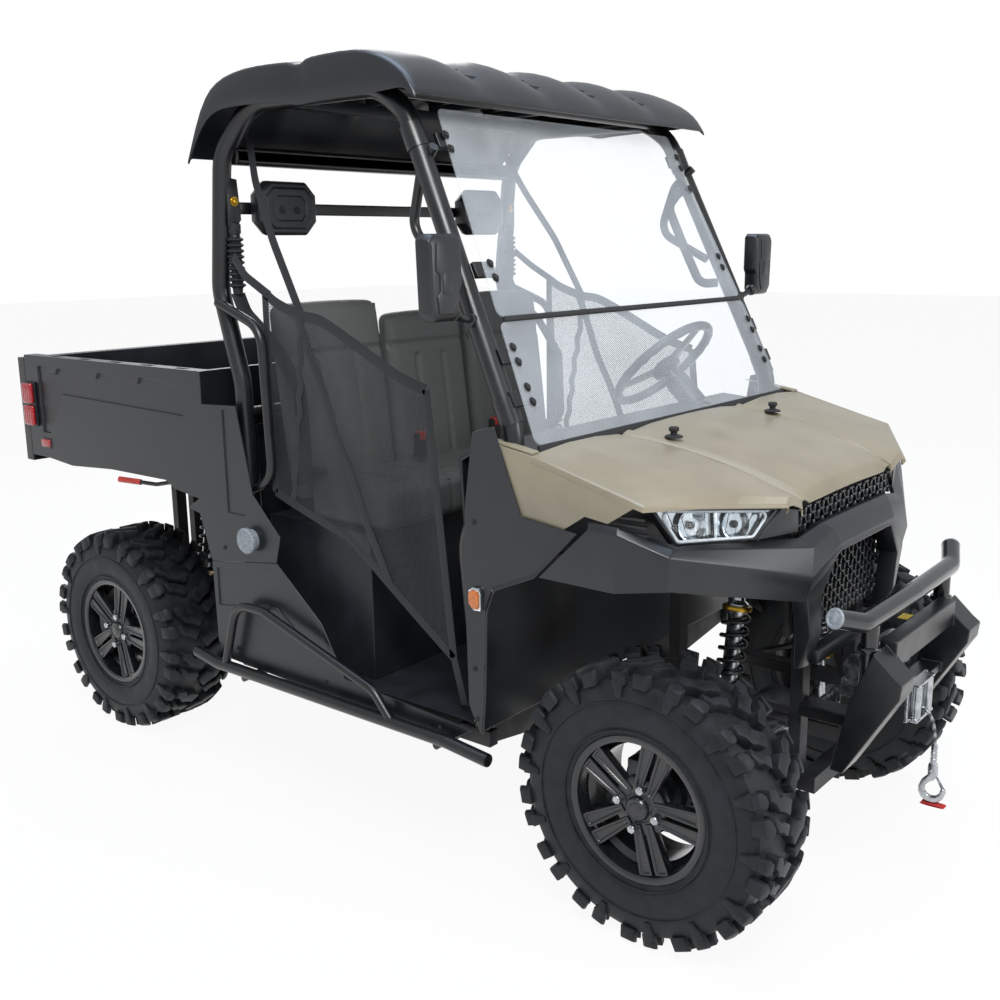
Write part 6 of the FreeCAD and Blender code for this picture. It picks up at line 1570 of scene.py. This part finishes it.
class VEHICLE_OT_screen(bpy.types.Operator):
    """Fit the windshield's panes, the rubber at its foot and the clamps with their bolts"""

    bl_idname = "vehicle.screen"
    bl_label = "Windshield"

    def execute(self, context):
        dress(SCREEN_PARTS)
        heads = []
        up = Vector((0, 0.35, 0.724)).normalized()
        face = Vector((0, -0.724, 0.35)).normalized()
        for x, y, z in ((0.513, -0.387, 1.717), (0.528, -0.523, 1.438), (0.558, -0.599, 1.257),
            (0.56, -0.636, 1.172)):
            middle = Vector((x - 0.012, y, z))
            offset = face.dot(Vector((0, -0.69, 1.062)) - middle) + 0.004
            for step in (-0.017, 0.017):
                heads.append(bolt("clamp_bolt", middle + face * offset + up * step, face, 0.0075, 0.005))
        put(both_sides(join("windshield_bolts", heads)), "seal_rubber")
        return {"FINISHED"}


def strap(name, points, width, facing, thick=0.0016, bend=0.0):
    """A flat band of webbing along a line, its broad side towards a direction."""
    points = rounded_route(points, bend) if bend else [Vector(p) for p in points]
    rows = []
    for i, point in enumerate(points):
        run = points[min(i + 1, len(points) - 1)] - points[max(i - 1, 0)]
        across = run.cross(Vector(facing)).normalized() * width / 2
        rows.append([point - across, point, point + across])
    return panel(name, rows, thick, fold=0, rim=0.0004, outward=facing)


BODY_PANELS = (("cargo_bed", "bed", "smooth_polypropylene", 0.0022),
    ("tailgate", "gate", "smooth_polypropylene", 0.003),
    ("rocker_panels", "chassis", "smooth_polypropylene", 0.0015),
    ("rear_corner_panels", "chassis", "smooth_polypropylene", 0.0015),
    ("winch_bumper", "chassis", "powder_coat_black", 0.003),
    ("dash_panel", "chassis", "smooth_polypropylene", 0.004),
    ("seat_base", "chassis", "moulded_polypropylene", 0.003),
    ("floor_pan", "chassis", "moulded_polypropylene", 0.0012),
    ("winch", "chassis", "zinc_plated_steel", 0.0015))


class VEHICLE_OT_body(bpy.types.Operator):
    """Ease the edges of the body's panels and add their lamps, handles, cap and bolts"""

    bl_idname = "vehicle.body"
    bl_label = "Body panels"

    def execute(self, context):
        dress(BODY_PANELS)
        x = 0.6255
        cases, lenses = [], []
        cases.append(block("lamp_case", (x, 1.2535, 0.946), (x + 0.008, 1.3115, 1.0855), 0.003))
        for low, high in ((0.95, 1.0125), (1.0185, 1.082)):
            lens = block("lens", (x + 0.0078, 1.2565, low), (x + 0.0205, 1.3095, high), 0.005, 3)
            ribs = [block("rib", (x + 0.0195, 1.2615 + n * 0.0115, low + 0.006),
                (x + 0.0213, 1.2665 + n * 0.0115, high - 0.006), 0.0008) for n in range(4)]
            lenses.append(join("lens", [lens] + ribs))
        put(both_sides(join("tail_lamp_cases", cases)), "smooth_polypropylene", "tail_lamps", body="bed")
        put(both_sides(join("tail_lamp_lenses", lenses)), "red_lens", body="bed")
        side = block("marker", (x - 0.0065, 1.198, 0.884), (x + 0.0055, 1.246, 0.908), 0.003, 3)
        put(both_sides(side), "red_lens", body="bed")
        rim = block("marker_case", (x - 0.0065, 1.193, 0.879), (x + 0.0012, 1.251, 0.913), 0.002)
        put(both_sides(rim), "smooth_polypropylene", body="bed")
        lever = [(0.585, 0.521, 0.8427), (0.585, 0.59, 0.8427), (0.607, 0.673, 0.826),
            (0.644, 0.78, 0.8335)]
        put(both_sides(tube("lever_rods", lever, 0.0058, 0.04, 8)), "powder_coat_black",
            "bed_release_levers", body="bed")
        grip = tube("lever_grips", [(0.6245, 0.724, 0.8295), (0.649, 0.795, 0.834)], 0.0084, 0.04, 10)
        eased(grip, 0.002, 3, 1.0)
        put(both_sides(grip), "buckle_red", body="bed")
        cap = turned("fuel_cap_body", [(-0.0004, 0), (-0.0004, 0.0285), (-0.012, 0.03),
            (-0.014, 0.0335), (-0.024, 0.0335), (-0.0265, 0.031), (-0.0265, 0.026), (-0.0245, 0.0235),
            (-0.0245, 0.012), (-0.0262, 0.01), (-0.0262, 0)], (-0.64, 0.212, 0.74), "X", 64)
        grips = ring_of(block("grip", (-0.664, 0.209, 0.7715), (-0.6545, 0.215, 0.7748), 0.001), 24,
            (-0.66, 0.212, 0.74), "X", "grips")
        put(join("fuel_cap_body", [cap, grips]), "grey_polyamide", "fuel_cap")
        bolts = []
        for y, z in ((0.33, 0.7), (0.16, 0.56), (-0.05, 0.405), (-0.44, 0.385), (0.3, 0.42)):
            bolts.append(bolt("panel_bolt", (0.6402, y, z), (1, 0, 0), 0.0042, 0.003))
        for y, z in ((-0.56, 0.9), (-0.556, 0.56), (-0.56, 0.44)):
            bolts.append(bolt("panel_bolt", (0.6465, y, z), (1, 0, 0), 0.0042, 0.003))
        put(both_sides(join("panel_bolts", bolts)), "seal_rubber")
        label = block("label", (-0.03, -1.301, 0.6603), (0.012, -1.279, 0.6609), 0)
        put(label, "yellow_label")
        spots = ((0.4, 0.48), (0.4, 1.24), (0.08, 0.48), (0.08, 1.24))
        pins = [bolt("deck_bolt", (way * x, y, 0.8621), (0, 0, 1), 0.006, 0.004) for way in (1, -1)
            for x, y in spots]
        put(join("bed_floor_bolts", pins), "zinc_plated_steel", body="bed")
        latch = [block("latch", (-0.075, 1.342, 1.112), (0.075, 1.35, 1.144), 0.004),
            block("pull", (-0.055, 1.347, 1.118), (0.055, 1.3525, 1.131), 0.002)]
        put(join("tailgate_latch", latch), "smooth_polypropylene", body="gate")
        return {"FINISHED"}


def octagon(x, y, z, wide, tall, cut):
    """Eight corners of a box face with its corners cut."""
    spots = [(-wide, -tall + cut), (-wide + cut, -tall), (wide - cut, -tall), (wide, -tall + cut),
        (wide, tall - cut), (wide - cut, tall), (-wide + cut, tall), (-wide, tall - cut)]
    return [Vector((x + a, y, z + b)) for a, b in spots]


class VEHICLE_OT_fittings(bpy.types.Operator):
    """Model the mirrors, headrests, belt retractors with their bellows, belts and buckles"""

    bl_idname = "vehicle.fittings"
    bl_label = "Mirrors, headrests and belts"

    def execute(self, context):
        outline = [(0.662, 1.505), (0.672, 1.5125), (0.752, 1.5125), (0.7638, 1.5), (0.758, 1.352),
            (0.744, 1.3355), (0.682, 1.3355), (0.67, 1.348), (0.67, 1.396), (0.6605, 1.41)]
        centre = Vector((0.712, 0, 1.424))
        sections = []
        for y, share in ((-0.5155, 0.97), (-0.518, 1.0), (-0.542, 1.0), (-0.5515, 0.96), (-0.556, 0.86)):
            sections.append([Vector((centre.x + (x - centre.x) * share, y,
                centre.z + (z - centre.z) * share)) for x, z in outline])
        parts = [lofted("head", sections, 0.0035, 3)]
        parts.append(plate("lobe", [(x, -0.5545, z) for x, z in ((0.69, 1.495), (0.744, 1.495),
            (0.748, 1.44), (0.735, 1.43), (0.735, 1.396), (0.744, 1.386), (0.738, 1.35), (0.694, 1.35),
            (0.684, 1.386), (0.684, 1.43), (0.694, 1.44))], (0, -0.0045, 0), 0.0022, 3))
        parts.append(plate("pad", [(x, -0.5588, z) for x, z in ((0.7, 1.434), (0.728, 1.434),
            (0.728, 1.392), (0.7, 1.392))], (0, -0.0016, 0), 0.0008))
        parts.append(tube("arm", [(0.602, -0.529, 1.332), (0.64, -0.532, 1.338), (0.676, -0.538, 1.352)],
            0.008, 0.02, 8))
        parts.append(turned("ball", [(-0.016, 0), (-0.014, 0.01), (-0.006, 0.0165), (0.004, 0.0165),
            (0.012, 0.01), (0.014, 0)], (0.672, -0.538, 1.35), "X", 32))
        parts.append(turned("socket", [(-0.01, 0), (-0.01, 0.013), (0.012, 0.015), (0.014, 0)],
            (0.604, -0.529, 1.332), "X", 28))
        put(both_sides(join("mirror_heads", parts)), "smooth_polypropylene", "mirrors")
        inner = [(centre.x + (x - centre.x) * 0.93, -0.515, centre.z + (z - centre.z) * 0.955)
            for x, z in outline]
        put(both_sides(plate("mirror_glass", inner, (0, 0.0012, 0), 0.0005)), "brushed_disc_steel")

        rests = []
        x, z = 0.4055, 1.59
        shape = [octagon(x, y, z, 0.0995 * s, 0.0695 * s, 0.034 * s) for y, s in ((0.3215, 0.84),
            (0.314, 0.94), (0.296, 1.0), (0.282, 1.0), (0.272, 0.955), (0.2685, 0.9))]
        rests.append(lofted("rest", shape, 0.004, 3))
        frame_ring = [[Vector((p.x, 0.268, p.z)) for p in octagon(x, 0, z, 0.082, 0.054, 0.027)],
            [Vector((p.x, 0.2655, p.z)) for p in octagon(x, 0, z, 0.077, 0.049, 0.025)],
            [Vector((p.x, 0.2655, p.z)) for p in octagon(x, 0, z, 0.056, 0.033, 0.016)],
            [Vector((p.x, 0.2695, p.z)) for p in octagon(x, 0, z, 0.052, 0.029, 0.014)]]
        rests.append(panel("ring", [row + row[:1] for row in frame_ring], 0.002, fold=0.0012, rim=0.0004,
            outward=(0, -1, 0)))
        put(both_sides(join("headrest_pads", rests)), "smooth_polypropylene", "headrests")
        bolts = [bolt("rest_bolt", (x + dx, 0.2682, z - 0.004), (0, -1, 0), 0.007, 0.004)
            for dx in (-0.026, 0.026)]
        put(both_sides(join("headrest_bolts", bolts)), "seal_rubber")

        x, y = 0.568, 0.3
        profile = [(1.372, 0), (1.372, 0.012), (1.386, 0.0135)]
        for n in range(9):
            low = 1.388 + n * 0.0145
            profile += [(low, 0.0145), (low + 0.0045, 0.0215), (low + 0.0085, 0.0215), (low + 0.013, 0.0145)]
        profile += [(1.521, 0.013), (1.527, 0.0165), (1.548, 0.0165), (1.552, 0.0125), (1.552, 0)]
        bellows = turned("bellows", profile, (x, y, 0), "Z", 36)
        put(both_sides(bellows), "moulded_polypropylene", "belt_retractors")
        tab = [(0.5895, 1.545), (0.5895, 1.665), (0.556, 1.66), (0.548, 1.56), (0.56, 1.545)]
        tab = plate("belt_anchor_tabs", [(x, 0.294, z) for x, z in tab], (0, 0.004, 0), 0.0008)
        put(both_sides(tab), "powder_coat_black")
        put(both_sides(bolt("anchor_bolt", (0.568, 0.2936, 1.605), (0, -1, 0), 0.0085, 0.005)),
            "gold_anodised")

        belts = [strap("belt", [(0.568, 0.3, 1.374), (0.566, 0.28, 1.33), (0.562, 0.18, 1.255),
            (0.558, 0.09, 1.14), (0.556, 0.08, 0.94), (0.557, 0.12, 0.88)], 0.044, (0, -1, 0.2),
            0.0015, 0.05), strap("belt", [(0.54, 0.086, 0.93), (0.5, 0.06, 0.922),
            (0.56, 0.1, 0.9)], 0.04, (0, -0.3, 1), 0.0015, 0.02)]
        put(both_sides(join("lap_and_shoulder_belts", belts)), "black_webbing")
        stalks, buttons = [], []
        for x in (0.176, -0.156):
            stalks.append(block("buckle", (x - 0.017, 0.04, 0.905), (x + 0.017, 0.064, 0.975), 0.005, 3))
            stalks.append(strap("stalk", [(x, 0.07, 0.905), (x, 0.052, 0.93)], 0.03, (0, -1, 0.4)))
            buttons.append(block("button", (x - 0.012, 0.0385, 0.955), (x + 0.012, 0.062, 0.9785), 0.003, 3))
        put(join("belt_buckles", stalks), "seal_rubber")
        put(join("belt_buckle_buttons", buttons), "buckle_red")
        handle = [(-0.562, -0.392, 1.7), (-0.548, -0.34, 1.65), (-0.54, -0.3, 1.52),
            (-0.556, -0.45, 1.44)]
        rail = tube("grab_rails", handle, 0.0115, 0.05, 8)
        put(both_sides(rail), "powder_coat_black")
        return {"FINISHED"}


NET_TOP = [(0.157, 1.378), (0.11, 1.352), (0.027, 1.326), (-0.044, 1.315), (-0.15, 1.268),
    (-0.29, 1.2), (-0.383, 1.172)]
NET_LOW = [(0.157, 0.868), (0.08, 0.842), (-0.02, 0.812), (-0.117, 0.781), (-0.23, 0.702),
    (-0.345, 0.62), (-0.45, 0.547)]


class VEHICLE_OT_nets(bpy.types.Operator):
    """Hang the side nets with their bound edges, and the straps that hold them up"""

    bl_idname = "vehicle.nets"
    bl_label = "Side nets"

    def execute(self, context):
        top, low = smoothed(NET_TOP, 6), smoothed(NET_LOW, 6)
        count = len(top)
        levels, net_x = 28, 0.598
        rows = []
        for level in range(levels + 1):
            v = level / levels
            row = []
            for n in range(count):
                u = n / (count - 1)
                y = top[n][0] * (1 - v) + low[n][0] * v
                z = top[n][1] * (1 - v) + low[n][1] * v
                free = math.sin(math.pi * u) * math.sin(math.pi * v)
                fold = 0.0055 * math.sin(9 * u + 3.2 * v) + 0.003 * math.sin(23 * u - 7 * v + 1.1)
                pull = 0.004 * math.sin(14 * (u + v)) * free
                row.append(Vector((net_x + fold * min(1, 4 * free) * 0.8 + pull, y, z)))
            rows.append(row)
        fabric = smooth(net("side_net_fabric", rows), 60)
        put(fabric, "net_fabric", "side_nets")
        other = copied(fabric, "side_net_fabric_right", MIRROR)
        put(other, "net_fabric")
        bands = []
        for line, width in (([r[0] for r in rows], 0.022), ([r[-1] for r in rows], 0.022), (rows[0], 0.026),
            (rows[-1], 0.022)):
            bands.append(strap("band", [p + Vector((0.0009, 0, 0)) for p in line], width, (1, 0, 0), 0.0018))
        for start, run, width in ((0.3, 0.4, 0.024), (0.34, -0.2, 0.02)):
            slant = []
            for step in range(15):
                t = step / 14
                slant.append(rows[round(levels * t)][round((count - 1) * (start + run * t))]
                    + Vector((0.0016, 0, 0)))
            bands.append(strap("band", slant, width, (1, 0, 0), 0.0014))
        binding = join("side_net_binding", bands)
        put(binding, "black_webbing")
        far = copied(binding, "side_net_binding_right", MIRROR)
        put(far, "black_webbing")
        lines = []
        for points, width, facing, bend in (([(0.52, 0.282, 1.78), (0.556, 0.223, 1.657),
            (0.59, 0.127, 1.507), (0.5985, 0.027, 1.33)], 0.024, (1, 0, 0.2), 0.3),
            ([(0.5985, 0.14, 1.372), (0.6, 0.23, 1.42), (0.585, 0.292, 1.47)], 0.022, (1, 0, 0.2),
            0.1), ([(0.5985, -0.448, 0.556), (0.597, -0.462, 0.5), (0.585, -0.47, 0.43)], 0.02,
            (1, 0, 0.1), 0.1)):
            lines.append(strap("tie", points, width, facing, 0.0016, bend))
        put(both_sides(join("side_net_ties", lines)), "black_webbing")
        return {"FINISHED"}


def stuffed(name, low, high, lean=0.0, lines=(), across=()):
    """A pad crowned on all its faces, its sides pulled in between the corners, with sewn lines."""
    low, high = Vector(low), Vector(high)
    middle, half = (low + high) / 2, (high - low) / 2
    piece = block(name, low, high, 0.024, 4)
    modify(piece, "REMESH", mode="VOXEL", voxel_size=0.007)
    for vertex in piece.data.vertices:
        spot = vertex.co - middle
        share = [max(-1.0, min(1.0, spot[k] / half[k])) for k in range(3)]
        fill = [1 - one * one for one in share]
        for k in range(3):
            across_it = fill[(k + 1) % 3] * fill[(k + 2) % 3]
            spot[k] *= 1 - 0.0075 / half[k] * (1 - across_it ** 0.5)
        vertex.co = spot + middle
    smooth(piece, 60)
    normals = [vertex.normal.copy() for vertex in piece.data.vertices]
    for vertex, normal in zip(piece.data.vertices, normals):
        spot = vertex.co
        dip = sum(math.exp(-(((spot.x - x) / 0.008) ** 2)) for x in lines
            if spot.z < low.z + 0.74 * (high.z - low.z) or half.z < half.y)
        dip += sum(math.exp(-(((spot[axis] - place) / 0.008) ** 2)) for axis, place in across)
        vertex.co = spot - normal * min(1.0, dip) * 0.007 * max(0.0, -normal.y, normal.z)
    piece.data.transform(Matrix(((1, 0, 0, 0), (0, 1, lean, -lean * low.z), (0, 0, 1, 0), (0, 0, 0, 1))))
    return piece


MIDDLE_HALF = 0.1615  # Half the width of the middle seat
BACK_LEAN = 0.125  # How far a backrest leans back for each metre up


class VEHICLE_OT_seats(bpy.types.Operator):
    """Stuff the three seats: cushions and backrests with sewn lines and piping"""

    bl_idname = "vehicle.seats"
    bl_label = "Seats"

    def corners(self, left, low, right, high, seam):
        left, low, right, high = left + seam, low + seam, right - seam, high - seam
        middle = (left + right) / 2
        return [(middle, low), (right, low), (right, high), (left, high), (left, low)]

    def execute(self, context):
        near, far = 0.1785, 0.5475
        third = (far - near) / 3
        wide = [near + third, near + 2 * third]
        made = []
        for name, low, high, lines in (("outer_cushion", (near, -0.196, 0.7925), (far, 0.094, 0.908), wide),
            ("middle_cushion", (-MIDDLE_HALF, -0.19, 0.7925), (MIDDLE_HALF, 0.094, 0.904),
            [-0.055, 0.055])):
            made.append((stuffed(name, low, high, 0.0, lines, [(1, -0.13)]), "seat_cushions"))
        for name, low, high, lines in (("outer_backrest", (near, 0.1035, 0.836), (far, 0.17, 1.348),
            wide), ("middle_backrest", (-MIDDLE_HALF, 0.1035, 0.836), (MIDDLE_HALF, 0.166, 1.306),
            [-0.055, 0.055])):
            made.append((stuffed(name, low, high, BACK_LEAN, lines, [(2, 1.215)]), "seat_backs"))
        for piece, node in made:
            pieces = [piece]
            if piece.name.startswith("outer"):
                pieces.append(copied(piece, piece.name + "_right", MIRROR))
            for one in pieces:
                put(one, "seat_vinyl", node)
        seam, cord = 0.0145, []
        for low, high in (((near, 0.1035, 0.836), (far, 0, 1.348)),
            ((-MIDDLE_HALF, 0.1035, 0.836), (MIDDLE_HALF, 0, 1.306))):
            loop = [(x, low[1] + seam + BACK_LEAN * (z - low[2]), z)
                for x, z in self.corners(low[0], low[2], high[0], high[2], seam)]
            cord.append(tube("piping", loop, 0.0032, 0.02, 6, True))
        for low, high in (((near, -0.196), (far, 0.094, 0.908)),
            ((-MIDDLE_HALF, -0.19), (MIDDLE_HALF, 0.094, 0.904))):
            loop = [(x, y, high[2] - seam) for x, y in self.corners(low[0], low[1], high[0], high[1], seam)]
            cord.append(tube("piping", loop, 0.0032, 0.02, 6, True))
        for one in (cord[0], cord[2]):
            cord.append(copied(one, "piping", MIRROR))
        put(join("seat_piping", cord), "seat_vinyl")
        return {"FINISHED"}


# Frame and running gear


RUNNING_GEAR = (("main_frame", "chassis", "frame_enamel", 0.002),
    ("wishbones", "chassis", "frame_enamel", 0.0015), ("half_shafts", "chassis", "frame_enamel", 0.001),
    ("front_differential", "chassis", "cast_aluminium", 0.004),
    ("power_unit", "chassis", "cast_aluminium", 0.005), ("tie_rods", "rack", "zinc_plated_steel", 0.0008),
    ("front_left_knuckle", "knuckle_left", "cast_aluminium", 0.0015),
    ("front_right_knuckle", "knuckle_right", "cast_aluminium", 0.0015),
    ("rear_knuckles", "chassis", "cast_aluminium", 0.0015),
    ("steering_column", "chassis", "frame_enamel", 0.001),
    ("tow_receiver", "chassis", "powder_coat_black", 0.002))


class VEHICLE_OT_running_gear(bpy.types.Operator):
    """Ease the edges of the frame, the arms, the uprights, the housings and the steering gear"""

    bl_idname = "vehicle.running_gear"
    bl_label = "Frame and running gear"

    def execute(self, context):
        dress(RUNNING_GEAR)
        return {"FINISHED"}


# The add-on's panel, its registration and the run


class VEHICLE_PT_panel(bpy.types.Panel):
    """Lists the sizes and the pieces"""

    bl_label = "Vehicle"
    bl_space_type = "VIEW_3D"
    bl_region_type = "UI"
    bl_category = "Vehicle"

    def draw(self, context):
        column = self.layout.column(align=True)
        for group in (context.scene.vehicle_sizes, context.scene.vehicle_colours):
            for name in group.bl_rna.properties.keys():
                if name not in ("rna_type", "name"):
                    column.prop(group, name)
        for kind in OPERATORS:
            column.operator(kind.bl_idname)


OPERATORS = [VEHICLE_OT_stage, VEHICLE_OT_winch_rope, VEHICLE_OT_running_gear, VEHICLE_OT_wheels,
    VEHICLE_OT_cage, VEHICLE_OT_bars, VEHICLE_OT_steering_wheel, VEHICLE_OT_shocks, VEHICLE_OT_roof,
    VEHICLE_OT_front, VEHICLE_OT_screen, VEHICLE_OT_body, VEHICLE_OT_fittings, VEHICLE_OT_nets,
    VEHICLE_OT_seats]
GROUPS = [VehicleSizes, VehicleColours]


def register():
    for kind in GROUPS + OPERATORS + [VEHICLE_PT_panel]:
        bpy.utils.register_class(kind)
    bpy.types.Scene.vehicle_sizes = bpy.props.PointerProperty(type=VehicleSizes)
    bpy.types.Scene.vehicle_colours = bpy.props.PointerProperty(type=VehicleColours)


def unregister():
    del bpy.types.Scene.vehicle_colours
    del bpy.types.Scene.vehicle_sizes
    for kind in reversed(GROUPS + OPERATORS + [VEHICLE_PT_panel]):
        bpy.utils.unregister_class(kind)


def main():
    """Registers the add-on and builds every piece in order."""
    register()
    for kind in OPERATORS:
        group, name = kind.bl_idname.split(".")
        getattr(getattr(bpy.ops, group), name)()


if __name__ == "__main__":
    main()
